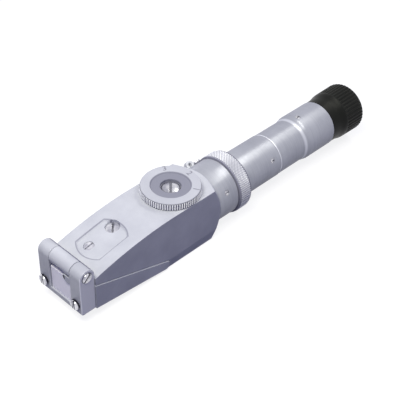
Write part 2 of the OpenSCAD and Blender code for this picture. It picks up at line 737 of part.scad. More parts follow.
module housing() {
    color([0.79, 0.8, 0.84]) at_axis() difference() {
        union() {
            intersection() {
                side_profile(body_w) housing_outline();
                rear_taper();
            }
            knuckle();
        }
        skirt_cut();
        mirror([0, 1, 0]) skirt_cut();
        rod_y(hinge_x, hinge_h, bracket_w, pin_d + 2 * fit);
        side_profile(pocket_w) polygon([
            [-pocket_front, pocket_front_h], [-pocket_rear, pocket_rear_h],
            [-pocket_rear, parting_z(-pocket_rear) - over], [-pocket_front, parting_z(-pocket_front) - over]
        ]);
        rod_x(-pocket_rear - over, 0, 2 * light_r);
        translate([0, 0, -axis_h - over]) cylinder(h = axis_h + over + bay_top, r = bay_r);
        translate([0, 0, -axis_h - over]) cylinder(h = over + cover_t, d = cover_d + 2 * fit);
        translate([0, 0, bay_top - over]) cylinder(h = top_wall + 2 * over, d = bush_d + 2 * fit);
        rod_x(0, rear_len + over, spigot_bore);
        rod_x(rear_len - spigot_len - gap, rear_len + over, spigot_d + 2 * fit);
        on_recess(0, 0) recess_cut();
        on_recess(adjust_back, screw_aside)
            translate([0, 0, -body_top / 2]) cylinder(h = body_top, d = adjust_d);
        on_recess(-clamp_ahead, screw_aside) clamp_hole();
        rotate([0, 0, ball_angle]) translate([ball_ring_r, 0, body_top + ball_proud - ball_d - detent_len])
            cylinder(h = body_top, d = ball_d + 2 * fit);
    }
}
module bottom_cover() {
    color([0.72, 0.73, 0.78]) difference() {
        union() {
            cylinder(h = cover_t, d = cover_d);
            cylinder(h = axis_h - turret_h - gap, d = boss_d);
        }
        translate([0, 0, cover_t]) cylinder(h = axis_h, d = pivot_d + 2 * fit);
        for (side = [-1, 1]) translate([0, side * spanner_r, -over])
            cylinder(h = spanner_depth + over, d = spanner_d);
    }
}

// Measuring prism and what holds it
module measuring_prism() {
    color([0.8, 0.88, 0.9, 0.5]) at_axis() side_profile(prism_w) polygon([
        [prism_front_x, parting_z(prism_front_x)], [prism_front_x + prism_bevel, prism_front_h],
        [prism_rear_x, prism_rear_h], [prism_rear_x, parting_z(prism_rear_x)]
    ]);
}
module prism_gasket() {
    outer_front = fit / cos(prism_angle);
    slope_len = (pocket_front - pocket_rear) / cos(prism_angle);
    outer_len = slope_len - gasket_t * tan(prism_angle) - 2 * outer_front;
    inner_front = prism_front_margin / cos(prism_angle) - fit;
    inner_len = (prism_rear_x - prism_front_x) / cos(prism_angle) + 2 * fit;
    color([0.12, 0.12, 0.12]) at_axis() on_parting(-pocket_front) difference() {
        translate([outer_front, -pocket_w / 2 + fit, 0]) cube([outer_len, pocket_w - 2 * fit, gasket_t]);
        translate([inner_front, -prism_w / 2 - fit, -over])
            cube([inner_len, prism_w + 2 * fit, gasket_t + 2 * over]);
    }
}
module prism_mount() {
    lift = gasket_t / cos(prism_angle) + fit;
    roof = prism_rear_h + fit;
    color([0.3, 0.3, 0.32]) at_axis() difference() {
        side_profile(pocket_w - 2 * fit) polygon([
            [mount_front_x, parting_z(mount_front_x) + lift], [mount_rear_x, parting_z(mount_rear_x) + lift],
            [mount_rear_x, roof + bridge_t], [mount_front_x, roof + bridge_t]
        ]);
        translate([mount_front_x - over, -prism_w / 2 - fit, -axis_h])
            cube([mount_rear_x - mount_front_x + 2 * over, prism_w + 2 * fit, axis_h + roof]);
        on_recess(-clamp_ahead, screw_aside) clamp_hole();
    }
}
module clamp_screw() {
    color([0.8, 0.81, 0.84]) at_axis() on_recess(-clamp_ahead, screw_aside)
        translate([0, 0, -recess_depth - clamp_sunk]) {
            slotted_head(clamp_d, clamp_head_t, clamp_slot_w, clamp_slot_depth);
            translate([0, 0, -clamp_head_t - clamp_stem_len])
                cylinder(h = clamp_stem_len + (clamp_head_t - clamp_slot_depth) / 2, d = clamp_stem_d);
        }
}
module adjusting_screw() {
    color([0.86, 0.87, 0.9]) at_axis() on_recess(adjust_back, screw_aside)
        translate([0, 0, -recess_depth - adjust_sunk]) {
            rotate([0, 0, rest_turn])
                slotted_head(adjust_d - 2 * fit, adjust_head_t, adjust_slot_w, adjust_slot_depth);
            translate([0, 0, -adjust_head_t - adjust_stem_len])
                cylinder(h = adjust_stem_len + adjust_head_t / 2, d = adjust_stem_d);
        }
}

// Range dial, its spindle and the turret of wedge prisms
module dial_edge() {
    r = dial_d / 2;
    step = 360 / dial_grooves;
    polygon([
        for (i = [0:dial_grooves - 1], half = [0, 1])
            (r - half * dial_groove_depth) * [cos((i + half / 2) * step), sin((i + half / 2) * step)]
    ]);
}
module dial() {
    plain_d = dial_d - 2 * dial_groove_depth - 2 * fit;
    top = dial_z + dial_t;
    color([0.82, 0.83, 0.86]) at_axis() difference() {
        union() {
            translate([0, 0, dial_z]) cylinder(h = dial_t, d = plain_d);
            translate([0, 0, dial_z + dial_low_band])
                linear_extrude(height = dial_t - dial_low_band - dial_top_band) dial_edge();
        }
        translate([0, 0, top - dish_depth])
            cylinder(h = dish_depth + over, d1 = dish_d - 2 * dish_slope,
                     d2 = dish_d + 2 * dish_slope * over / dish_depth);
        translate([0, 0, dial_floor]) cylinder(h = dial_t, d = dial_hole_d);
        translate([0, 0, dial_z])
            cube([spindle_square + 2 * fit, spindle_square + 2 * fit, dial_t], center = true);
        for (i = [-1:1]) rotate([0, 0, ball_angle + i * turret_step])
            translate([ball_ring_r, 0, dial_z + gap - ball_d / 2]) sphere(d = ball_d);
    }
}
module dial_screw() {
    head_z = dial_floor + fit;
    color([0.86, 0.87, 0.9]) at_axis() difference() {
        union() {
            intersection() {
                translate([0, 0, head_z]) cylinder(h = dial_screw_head_h, d = dial_screw_head_d);
                translate([0, 0, head_z + dial_screw_head_h - dial_screw_dome_r])
                    sphere(r = dial_screw_dome_r);
            }
            translate([0, 0, head_z - dial_screw_len])
                cylinder(h = dial_screw_len + dial_screw_head_h / 2, d = dial_screw_d);
        }
        rotate([0, 0, rest_turn])
            translate([-dial_screw_head_d, -dial_slot_w / 2, head_z + dial_screw_head_h - dial_slot_depth])
            cube([2 * dial_screw_head_d, dial_slot_w, dial_t]);
    }
}
module dial_spindle() {
    tail_end = turret_h - turret_plate_t - nut_t;
    color([0.75, 0.76, 0.8]) at_axis() difference() {
        union() {
            translate([0, 0, turret_h]) cylinder(h = dial_z - turret_h, d = spindle_d);
            translate([0, 0, tail_end]) cylinder(h = turret_h - tail_end + over, d = tail_d);
            translate([-spindle_square / 2, -spindle_square / 2, dial_z - over])
                cube([spindle_square, spindle_square, over + dial_floor - dial_z]);
        }
        translate([0, 0, dial_floor - dial_screw_len - gap])
            cylinder(h = dial_screw_len + dial_t, d = dial_screw_d + 2 * fit);
    }
}
module spindle_bush() {
    color([0.78, 0.63, 0.35]) at_axis() difference() {
        union() {
            translate([0, 0, bay_top - bush_flange_t]) cylinder(h = top_wall + bush_flange_t, d = bush_d);
            translate([0, 0, bay_top - bush_flange_t]) cylinder(h = bush_flange_t, d = bush_flange_d);
        }
        cylinder(h = dial_z + over, d = spindle_d + 2 * fit);
    }
}
module wedge_place(i) {
    flat = turret_r * cos(180 / 6);
    rotate([0, 0, 180 + i * turret_step]) translate([flat - wedge_thick - fit, 0, 0]) children();
}
module turret() {
    port_start = sqrt(turret_hollow_r * turret_hollow_r - turret_port_r * turret_port_r) - fit;
    color([0.2, 0.2, 0.22]) at_axis() difference() {
        union() {
            rotate([0, 0, 180 / 6]) translate([0, 0, -turret_h])
                cylinder(h = 2 * turret_h, r = turret_r, $fn = 6);
            translate([0, 0, -turret_h - pivot_len]) cylinder(h = turret_h, d = pivot_d);
        }
        translate([0, 0, -turret_h + turret_plate_t])
            cylinder(h = 2 * (turret_h - turret_plate_t), r = turret_hollow_r);
        cylinder(h = axis_h, d = tail_d + 2 * fit);
        for (i = [0:5]) rotate([0, 0, i * turret_step]) rod_x(port_start, 2 * turret_r, 2 * turret_port_r);
        for (i = [-1:1]) wedge_place(i) translate([0, -wedge_w / 2 - fit, -wedge_w / 2 - fit])
            cube([turret_r, wedge_w + 2 * fit, wedge_w + 2 * fit]);
    }
}
module turret_nut() {
    color([0.75, 0.76, 0.8]) at_axis() translate([0, 0, turret_h - turret_plate_t - nut_t]) difference() {
        cylinder(h = nut_t - fit, d = nut_d, $fn = 6);
        translate([0, 0, -over]) cylinder(h = nut_t + 2 * over, d = tail_d + 2 * fit);
    }
}
module wedge_prisms() {
    color([0.8, 0.88, 0.9, 0.5]) at_axis() for (i = [-1:1]) wedge_place(i)
        translate([0, 0, -wedge_w / 2]) linear_extrude(height = wedge_w) polygon([
            [fit, -wedge_w / 2], [wedge_thin, -wedge_w / 2], [wedge_thick, wedge_w / 2], [fit, wedge_w / 2]
        ]);
}
module detent_ball() {
    color([0.86, 0.87, 0.9]) at_axis() rotate([0, 0, ball_angle])
        translate([ball_ring_r, 0, body_top + ball_proud - ball_d / 2]) sphere(d = ball_d);
}
module detent_spring() {
    bottom = body_top + ball_proud - ball_d - detent_len;
    coil_d = ball_d - 2 * fit;
    color([0.7, 0.7, 0.72]) at_axis() rotate([0, 0, ball_angle]) translate([ball_ring_r, 0, bottom])
        difference() {
            cylinder(h = detent_len, d = coil_d);
            translate([0, 0, -over]) cylinder(h = detent_len + 2 * over, d = coil_d - 2 * detent_wire);
        }
}

// Front bracket, hinge pin and lid
module front_bracket() {
    color([0.74, 0.75, 0.8]) at_axis() difference() {
        union() {
            rod_y(hinge_x, hinge_h, bracket_w, barrel_d);
            side_profile(bracket_w) polygon([
                [front_x, hinge_h], [lid_front_x, hinge_h], [lid_front_x, -bracket_drop],
                [front_x + bracket_bevel, -bracket_drop], [front_x, -bracket_drop + bracket_bevel]
            ]);
        }
        translate([front_x - over, -window_w / 2, slot_floor])
            cube([barrel_d + 2 * over, window_w, bracket_drop + hinge_h + barrel_d]);
        rod_y(hinge_x, hinge_h, bracket_w + 2 * over, pin_d + 2 * fit);
        translate([hinge_x, -bracket_w / 2 - over, hinge_h]) rotate([-90, 0, 0])
            cylinder(h = over + pin_head_h - pin_head_proud, d = pin_head_d + 2 * fit);
        for (side = [-1, 1]) translate([0, side * bracket_screw_y, -bracket_screw_drop])
            rod_x(front_x - over, lid_front_x + over, bracket_screw_d + 2 * fit);
    }
}
module bracket_screws() {
    color([0.86, 0.87, 0.9]) at_axis() for (side = [-1, 1])
        translate([front_x, side * bracket_screw_y, -bracket_screw_drop]) {
            translate([-bracket_head_h, 0, 0]) rotate([0, -90, 0])
                slotted_head(bracket_head_d, bracket_head_h, slot_w, slot_depth);
            rod_x(-bracket_head_h / 2, bracket_screw_len, bracket_screw_d);
        }
}
module hinge_pin() {
    head_y = -bracket_w / 2 - pin_head_proud;
    color([0.86, 0.87, 0.9]) at_axis() translate([hinge_x, head_y, hinge_h]) rotate([90, 0, 0]) {
        rotate([0, 0, rest_turn]) slotted_head(pin_head_d, pin_head_h, slot_w, slot_depth);
        translate([0, 0, -(bracket_w + pin_head_proud)])
            cylinder(h = bracket_w + pin_head_proud - pin_head_h / 2, d = pin_d);
    }
}
module lid_outline() {
    turn = (lid_angle - 90) / edge_steps;
    polygon(concat(
        [[lid_front_x, -lid_front_drop], [lid_front_x, lid_face_z(lid_front_x)]],
        [[lid_rear_x, lid_face_z(lid_rear_x)]],
        [for (i = [0:edge_steps]) lid_edge + lid_end_r * [cos(i * turn), sin(i * turn)]]
    ));
}
module lid_pocket(grow, top_drop) {
    x0 = lid_front_x + lid_front_wall - grow;
    x1 = lid_rear_x - lid_rear_solid + grow;
    side_profile(lid_pocket_w + 2 * grow) polygon([
        [x0, lid_face_z(x0) - top_drop], [x1, lid_face_z(x1) - top_drop],
        [x1, lid_floor_z(x1) - grow], [x0, lid_floor_z(x0) - grow]
    ]);
}
module lid_casting() {
    color([0.44, 0.44, 0.53]) at_axis() difference() {
        side_profile(lid_w) lid_outline();
        lid_pocket(0, -over);
        translate([lid_front_x - over, -window_w / 2, slot_floor])
            cube([lid_front_wall + 2 * over, window_w, lid_face_z(lid_front_x) - port_rim - slot_floor]);
        for (side = [-1, 1]) translate([0, side * bracket_screw_y, -bracket_screw_drop])
            rod_x(lid_front_x - over, front_x + bracket_screw_len + over, bracket_screw_d + 2 * fit);
    }
}
module illuminating_prism() {
    color([0.9, 0.88, 0.9, 0.6]) at_axis() lid_pocket(-fit, face_sunk);
}
module window_plate() {
    color([0.86, 0.84, 0.88]) at_axis() translate([front_x + window_inset, -window_w / 2 + fit, slot_floor])
        cube([window_t, window_w - 2 * fit, window_top - slot_floor]);
}
module window_clip() {
    color([0.6, 0.6, 0.66]) at_axis()
        translate([front_x + window_inset - clip_t, -window_w / 2 + fit, window_top + clip_rise])
        rotate([90, 0, 90]) linear_extrude(height = clip_t) intersection() {
            translate([clip_in, 0]) circle(r = clip_r);
            translate([0, -clip_r - over]) square([clip_in + clip_r + over, clip_r + over + clip_head]);
        }
}

// Collar, lock ring and telescope tube
module grub_screw(r, len) {
    rotate([-90, 0, 0]) translate([0, 0, r]) slotted_head(grub_d, len, grub_slot_w, grub_slot_depth);
}
module grub_ring(x, r, len, count) {
    for (i = [0:count - 1]) around(grub_angle + i * 360 / count) translate([x, 0, 0])
        grub_screw(r - fit, len);
}
module grub_holes(x, r, depth, count) {
    for (i = [0:count - 1]) around(grub_angle + i * 360 / count) translate([x, 0, 0])
        rotate([-90, 0, 0]) translate([0, 0, r - depth]) cylinder(h = depth + over, d = grub_d + 2 * fit);
}
module rear_collar() {
    bevel_x = collar_end - collar_bevel;
    color([0.76, 0.77, 0.82]) at_axis() difference() {
        union() {
            turned() polygon([
                [0, collar_x], [collar_d / 2, collar_x], [collar_d / 2, bevel_x],
                [collar_d / 2 - collar_bevel, collar_end], [0, collar_end]
            ]);
            rod_x(collar_x - spigot_len, collar_x + seat_depth, spigot_d);
        }
        rod_x(collar_x - spigot_len - over, collar_end, spigot_bore);
        rod_x(tube_x, collar_end + over, tube_d + 2 * fit);
        grub_holes(collar_x + collar_grub_back, collar_d / 2, collar_wall, collar_grub_count);
        around(lug_angle) translate([lug_x, lug_seat, -lug_w / 2 - fit])
            cube([collar_len, collar_d, lug_w + 2 * fit]);
        around(lug_angle) translate([lug_screw_x, 0, 0]) rotate([-90, 0, 0])
            cylinder(h = collar_d, d = lug_screw_d + 2 * fit);
    }
}
module collar_grub_screws() {
    color([0.8, 0.8, 0.82]) at_axis()
        grub_ring(collar_x + collar_grub_back, collar_d / 2, collar_wall - 2 * fit, collar_grub_count);
}
module strap_lug() {
    eye_y = lug_seat + lug_t + eye_h - eye_len / 2;
    color([0.8, 0.81, 0.84]) at_axis() around(lug_angle) translate([lug_x, 0, 0]) difference() {
        union() {
            translate([0, lug_seat, -lug_w / 2]) cube([lug_len, lug_t, lug_w]);
            translate([0, lug_seat, -eye_t / 2]) cube([eye_len, eye_y - lug_seat, eye_t]);
            translate([eye_len / 2, eye_y, -eye_t / 2]) cylinder(h = eye_t, d = eye_len);
        }
        translate([eye_len / 2, eye_y, -lug_w]) cylinder(h = 2 * lug_w, d = eye_hole_d);
        translate([lug_len - lug_screw_ahead, lug_seat - over, 0]) rotate([-90, 0, 0])
            cylinder(h = lug_t + 2 * over, d = lug_screw_d + 2 * fit);
    }
}
module strap_lug_screw() {
    color([0.86, 0.87, 0.9]) at_axis() around(lug_angle)
        translate([lug_screw_x, lug_seat + lug_t, 0]) rotate([-90, 0, 0]) {
            translate([0, 0, lug_head_h]) slotted_head(lug_head_d, lug_head_h, slot_w, slot_depth);
            translate([0, 0, -lug_screw_len]) cylinder(h = lug_screw_len + lug_head_h / 2, d = lug_screw_d);
        }
}
module telescope_tube() {
    color([0.72, 0.73, 0.79]) at_axis() difference() {
        turned() polygon([
            [tube_bore / 2, tube_x], [tube_d / 2, tube_x], [tube_d / 2, tube_end - tube_bevel],
            [tube_d / 2 - tube_bevel, tube_end], [tube_bore / 2, tube_end]
        ]);
        grub_holes(tube_end - tube_grub_ahead, tube_d / 2, tube_wall + over, tube_grub_count);
    }
}
module tube_grub_screws() {
    color([0.8, 0.8, 0.82]) at_axis()
        grub_ring(tube_end - tube_grub_ahead, tube_d / 2, tube_wall - 2 * fit, tube_grub_count);
}
module objective_cell() {
    cell_bore = objective_d - 2 * ledge;
    color([0.18, 0.18, 0.2]) at_axis() difference() {
        rod_x(cell_x, cell_x + cell_len, tube_bore - 2 * fit);
        rod_x(cell_x - over, cell_x + cell_len + over, cell_bore);
        rod_x(cell_x + cell_seat, cell_x + cell_len + over, objective_d + 2 * fit);
    }
}
module objective_lens() {
    color([0.8, 0.88, 0.9, 0.5]) at_axis()
        lens(cell_x + cell_seat, objective_edge, objective_d, objective_r, true, true);
}
module objective_ring() {
    x0 = cell_x + cell_seat + objective_edge;
    color([0.18, 0.18, 0.2]) at_axis() pipe_x(x0, x0 + retainer_len, objective_d, objective_d - 2 * ledge);
}
module lock_ring() {
    r = ring_d / 2;
    bore_r = tube_d / 2 + fit;
    end_x = ring_x + ring_len;
    color([0.74, 0.75, 0.8]) at_axis() turned() polygon([
        [bore_r, ring_x], [r - ring_bevel, ring_x], [r, ring_x + ring_bevel],
        [r, end_x - ring_bevel], [r - ring_bevel, end_x], [bore_r, end_x]
    ]);
}

// Eyepiece tube with the reticle
module eyepiece_tube() {
    plug_x = tube_end - plug_len;
    bore_r = sleeve_d / 2 + fit;
    color([0.72, 0.73, 0.79]) at_axis() difference() {
        turned() polygon([
            [mid_bore / 2, plug_x], [tube_bore / 2 - fit, plug_x], [tube_bore / 2 - fit, mid_x],
            [mid_d / 2 - tube_bevel, mid_x], [mid_d / 2, mid_x + tube_bevel], [mid_d / 2, cone_x],
            [holder_d / 2, holder_x], [holder_d / 2, holder_end - tube_bevel],
            [holder_d / 2 - tube_bevel, holder_end], [bore_r, holder_end],
            [bore_r, sleeve_x - gap], [mid_bore / 2, sleeve_x - gap]
        ]);
        translate([guide_x, 0, 0]) cylinder(h = holder_d, d = guide_d + 2 * fit);
    }
}
module guide_screw() {
    tip = sleeve_d / 2 - guide_tip_len;
    color([0.86, 0.87, 0.9]) at_axis() translate([guide_x, 0, 0]) {
        translate([0, 0, holder_d / 2])
            slotted_head(guide_d, holder_d / 2 - sleeve_d / 2 - 2 * fit, grub_slot_w, grub_slot_depth);
        translate([0, 0, tip]) cylinder(h = holder_d / 2 - tip - grub_slot_depth, d = guide_tip_d);
    }
}
module reticle_cell() {
    color([0.18, 0.18, 0.2]) at_axis() difference() {
        rod_x(reticle_x, reticle_x + reticle_len, mid_bore - 2 * fit);
        rod_x(reticle_x - over, reticle_x + reticle_len + over, reticle_d - 2 * ledge);
        rod_x(reticle_x + reticle_len - reticle_seat, reticle_x + reticle_len + over, reticle_d + 2 * fit);
    }
}
module reticle_plate() {
    x0 = reticle_x + reticle_len - reticle_seat;
    color([0.8, 0.88, 0.9, 0.5]) at_axis() rod_x(x0, x0 + reticle_t, reticle_d);
}

// Focusing sleeve with its lenses
module focus_sleeve() {
    groove_r = guide_tip_d / 2 + guide_clear;
    ledge_x = field_lens_x - stop_t;
    color([0.62, 0.63, 0.68]) at_axis() difference() {
        rod_x(sleeve_x, sleeve_end, sleeve_d);
        rod_x(sleeve_x - over, ledge_x, sleeve_bore);
        rod_x(ledge_x - over, sleeve_end + over, lens_d - 2 * ledge);
        rod_x(field_lens_x, sleeve_end + over, lens_d + 2 * fit);
        translate([guide_x - focus_travel - groove_r, -groove_r, sleeve_d / 2 - guide_tip_len - guide_clear])
            cube([focus_travel + 2 * groove_r, 2 * groove_r, sleeve_d]);
    }
}
module field_lens() {
    color([0.8, 0.88, 0.9, 0.5]) at_axis() lens(field_lens_x, lens_edge, lens_d, lens_r, false, true);
}
module lens_spacer() {
    color([0.18, 0.18, 0.2]) at_axis()
        pipe_x(field_lens_x + lens_edge, eye_lens_x, lens_d, lens_d - 2 * spacer_wall);
}
module eye_lens() {
    color([0.8, 0.88, 0.9, 0.5]) at_axis() lens(eye_lens_x, lens_edge, lens_d, lens_r, true, false);
}
module lens_retainer() {
    color([0.18, 0.18, 0.2]) at_axis() difference() {
        union() {
            rod_x(eye_lens_x + lens_edge, sleeve_end + flange_t, lens_d);
            rod_x(sleeve_end, sleeve_end + flange_t, flange_d);
        }
        rod_x(eye_lens_x, sleeve_end + flange_t + over, view_d);
    }
}

// Eyecup, which turns on the sleeve
module eyecup_core() {
    color([0.6, 0.6, 0.64]) at_axis() pipe_x(cup_x, cup_x + core_len, core_d, sleeve_d + 2 * fit);
}
module cup_groove() {
    near_x = cup_x + band_len;
    far_x = cup_end - cup_edge_r;
    depth_r = cup_d / 2 - cup_groove_depth;
    run = far_x - near_x;
    translate([near_x, 0, 0]) side_profile(cup_groove_w) polygon([
        [cup_groove_depth, depth_r], [run, depth_r + (cup_rear_d - cup_d) / 2],
        [run + cup_edge_r, depth_r], [cup_len, cup_rear_d], [0, cup_rear_d], [0, cup_d / 2]
    ]);
}
module eyecup() {
    rear_r = cup_rear_d / 2;
    edge_x = cup_end - cup_edge_r;
    lip_x = cup_end - cup_depth;
    color([0.1, 0.1, 0.1]) at_axis() difference() {
        union() {
            turned() polygon([
                [core_d / 2 + fit, cup_x], [neck_d / 2, cup_x], [band_d / 2, cup_x + neck_len],
                [cup_d / 2, cup_x + band_len], [rear_r, edge_x], [rear_r - cup_edge_r, edge_x],
                [rear_r - cup_edge_r, cup_end], [mouth_d / 2, cup_end], [floor_d / 2, lip_x],
                [floor_d / 2, lip_x - cup_floor_t], [core_d / 2 + fit, lip_x - cup_floor_t]
            ]);
            turned() translate([rear_r - cup_edge_r, edge_x]) intersection() {
                circle(r = cup_edge_r);
                square(cup_edge_r);
            }
        }
        for (i = [0:cup_ribs - 1]) around(i * 360 / cup_ribs) cup_groove();
    }
}

housing();
bottom_cover();
measuring_prism();
prism_gasket();
prism_mount();
clamp_screw();
spindle_bush();
detent_ball();
detent_spring();
rear_collar();
collar_grub_screws();
strap_lug();
strap_lug_screw();
telescope_tube();
tube_grub_screws();
objective_cell();
objective_lens();
objective_ring();
eyepiece_tube();
guide_screw();
reticle_cell();
reticle_plate();
front_bracket();
bracket_screws();
hinge_pin();
lid_casting();
illuminating_prism();
window_plate();
window_clip();
dial();
dial_screw();
dial_spindle();
turret();
turret_nut();
wedge_prisms();
adjusting_screw();
lock_ring();
focus_sleeve();
field_lens();
lens_spacer();
eye_lens();
lens_retainer();
eyecup_core();
eyecup();
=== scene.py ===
import json
import math
import bmesh
import bpy
from mathutils import Matrix, Vector


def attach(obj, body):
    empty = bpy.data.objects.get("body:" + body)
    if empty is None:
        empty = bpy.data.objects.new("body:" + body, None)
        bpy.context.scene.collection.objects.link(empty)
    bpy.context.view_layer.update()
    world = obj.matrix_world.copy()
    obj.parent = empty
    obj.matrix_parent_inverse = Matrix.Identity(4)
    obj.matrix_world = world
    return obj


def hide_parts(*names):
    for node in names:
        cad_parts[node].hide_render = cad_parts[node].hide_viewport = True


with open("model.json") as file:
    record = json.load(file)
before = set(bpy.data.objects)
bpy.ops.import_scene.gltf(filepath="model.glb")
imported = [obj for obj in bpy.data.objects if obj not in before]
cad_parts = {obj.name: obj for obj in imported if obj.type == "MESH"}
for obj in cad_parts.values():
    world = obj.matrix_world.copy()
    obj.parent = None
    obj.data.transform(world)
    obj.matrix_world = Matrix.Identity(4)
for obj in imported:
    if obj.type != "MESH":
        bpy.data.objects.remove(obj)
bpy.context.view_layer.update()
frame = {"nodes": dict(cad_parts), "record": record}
scene = bpy.context.scene
mm = 0.001
touching = 0.001  # in mm, points that are nearer than this are one
axisHeight = 16.2 * mm  # the optical axis above the table
record = frame["record"]
bodyOf = {n: b for b, nodes in record["behaviour"]["bodies"].items() for n in nodes}
slotOf = {row["node"]: row["material_slot"] for row in record["subparts"]}


class Wire:
    # one socket, with the arithmetic that the finishes use
    def __init__(self, finish, socket):
        self.finish = finish
        self.socket = socket

    def math(self, operation, *others):
        return self.finish.node("ShaderNodeMath", {"operation": operation}, {
            i: w for i, w in enumerate((self, *others))})

    def __add__(self, other):
        return self.math("ADD", other)

    def __sub__(self, other):
        return self.math("SUBTRACT", other)

    def __rsub__(self, other):
        return self.finish.node("ShaderNodeMath", {"operation": "SUBTRACT"}, {0: other, 1: self})

    def __mul__(self, other):
        return self.math("MULTIPLY", other)

    def __pow__(self, other):
        return self.math("POWER", other)

    __radd__ = __add__
    __rmul__ = __mul__


class Finish:
    # the node tree of a material or of the world
    def __init__(self, owner):
        self.owner = bpy.data.materials.new(owner) if isinstance(owner, str) else owner
        self.owner.use_nodes = True
        self.tree = self.owner.node_tree
        self.tree.nodes.clear()

    def node(self, kind, settings=None, sockets=None, output=0):
        made = self.tree.nodes.new(kind)
        for key, value in (settings or {}).items():
            setattr(made, key, value)
        for key, value in (sockets or {}).items():
            if isinstance(value, Wire):
                self.tree.links.new(value.socket, made.inputs[key])
            else:
                made.inputs[key].default_value = value
        return Wire(self, made.outputs[output]) if made.outputs else None

    def place(self, stretch=(1, 1, 1)):
        # object coordinates in metres
        spot = self.node("ShaderNodeTexCoord", output="Object")
        return self.node("ShaderNodeMapping", {}, {"Vector": spot, "Scale": stretch})

    def noise(self, place, scale, detail=2.0, rough=0.5):
        return self.node("ShaderNodeTexNoise", {}, {
            "Vector": place, "Scale": scale, "Detail": detail, "Roughness": rough}, "Fac")

    def spread(self, value, low, high, fromLow=0.0, fromHigh=1.0):
        return self.node("ShaderNodeMapRange", {"clamp": True}, {
            "Value": value, "From Min": fromLow, "From Max": fromHigh,
            "To Min": low, "To Max": high}, "Result")

    def rise(self, value, first, last):
        # 0 up to the first place and 1 from the last, both in mm
        return self.spread(value, 0, 1, first * mm, last * mm)

    def fall(self, value, first, last):
        # 1 up to the first place and 0 from the last, both in mm
        return self.spread(value, 1, 0, first * mm, last * mm)

    def band(self, value, low, high, soft):
        # 1 between two places in mm, and 0 beyond the soft edges
        return self.rise(value, low - soft, low) * self.fall(value, high, high + soft)

    def box(self, limits):
        # a band for each axis that is named
        return math.prod(self.band(self.axes(name)[0], *limit) for name, limit in limits.items())

    def tint(self, factor, first, second):
        return self.node("ShaderNodeMix", {"data_type": "RGBA"},
                         {0: factor, 6: first, 7: second}, 2)

    def seen(self):
        # 1 on rays from the camera and on those that metal or glass sends on, else 0
        rays = [self.node("ShaderNodeLightPath", output=name)
                for name in ("Is Camera Ray", "Is Glossy Ray", "Is Transmission Ray")]
        return (rays[0] + rays[1] + rays[2]).math("MINIMUM", 1.0)

    def axes(self, names="XYZ"):
        spot = self.node("ShaderNodeTexCoord", output="Object")
        return [self.node("ShaderNodeSeparateXYZ", {}, {"Vector": spot}, name) for name in names]

    def radius(self, names="XY", lift=0.0):
        # distance from an axis through the object's origin, or from one raised by lift
        first, second = self.axes(names)
        return (first ** 2.0 + (second - lift) ** 2.0) ** 0.5

    def bump(self, height, depth):
        return self.node("ShaderNodeBump", {}, {
            "Height": height, "Strength": 1.0, "Distance": depth}, "Normal")

    def shade(self, **sockets):
        skin = self.node("ShaderNodeBsdfPrincipled", {}, {
            key.replace("_", " "): value for key, value in sockets.items()}, "BSDF")
        self.node("ShaderNodeOutputMaterial", {}, {"Surface": skin})
        return self.owner


# the middle of a noise's values, which a tint or a roughness spreads out
narrowMiddle = (0.35, 0.65)
wideMiddle = (0.3, 0.7)


def colour(red, green, blue):
    # screen values from 0 to 255 as scene colours
    shares = [v / 255 for v in (red, green, blue)]
    linear = [((v + 0.055) / 1.055) ** 2.4 if v > 0.04 else v / 12.92 for v in shares]
    return (*linear, 1)


satinPlate = {
    "pale": colour(198, 200, 205),
    "deep": colour(178, 180, 187),
    # painted shade round the recess's rim and behind the hinge's barrel
    "seam": colour(104, 104, 122),
    # painted light on the outer faces of the bracket's legs
    "side": colour(214, 215, 222),
    # painted highlight on the front corners of the bracket's legs
    "paintedHighlight": colour(246, 247, 252),
    "cloudScale": 55,
    "scuffScale": 420,
    "scuffRange": (0.58, 0.74),
    "scuffShare": 0.22,
    "grainScale": 5200,
    "grainDepth": 0.006 * mm,
    "grain": 1.0,
    "stretch": (1, 1, 1),
    "roughLow": 0.36,
    "roughHigh": 0.5,
    "roughRange": (0.25, 0.75),
    "metallic": 0.0,
    "shine": 0.05,
}
# places in mm: from, to and, where there is a third number, the width of the soft edges
# where the shade behind the hinge's barrel is painted
hingeShadeBox = {"X": (-62.6, -60.4, 0.6), "Y": (-14, 14, 0.3), "Z": (25, 40, 0.5)}
# where the shadow on the window's clip is painted
clipShadowBox = {"Y": (-3.3, 0, 0.1), "Z": (21.2, 23.4, 0.1)}
recess = {
    "middle": -43.8, "squash": 1.02, "round": 12.2, "half": 8.4,
    # the line and its share are the band of painted shade round the rim
    "line": (-0.3, 0.15, 0.12), "rimShadeShare": 0.55, "above": {"Z": (23.5, 40, 0.5)},
}  # the lid has the same finish, and lies lower than the rim
bracketFaces = {
    "side": (14.6, 14.68), "sideEnd": (-61.2, -60.9),
    "corner": (14.34, 14.9, 0.1), "cornerEnd": (-68.95, -68.85), "cornerShare": 0.8,
}


def paintedHingeShade(f):
    # painted shade behind the hinge's barrel
    return f.box(hingeShadeBox)


def paintedBodyShade(f):
    # painted shade along the recess's rim, with two round ends and two straight sides, and painted
    # shade in the hinge's seam
    s = recess
    x, y = f.axes("XY")
    ends = (((x - s["middle"] * mm) * s["squash"]) ** 2.0 + y ** 2.0) ** 0.5 - s["round"] * mm
    reach = ends.math("MAXIMUM", y.math("ABSOLUTE") - s["half"] * mm)
    rim = f.band(reach, *s["line"]) * f.box(s["above"])
    return (rim * s["rimShadeShare"]).math("MAXIMUM", paintedHingeShade(f))


def paintedLitSides(f):
    # painted light on the outer faces of the legs
    x, y = f.axes("XY")
    return f.rise(y.math("ABSOLUTE"), *bracketFaces["side"]) * f.fall(x, *bracketFaces["sideEnd"])


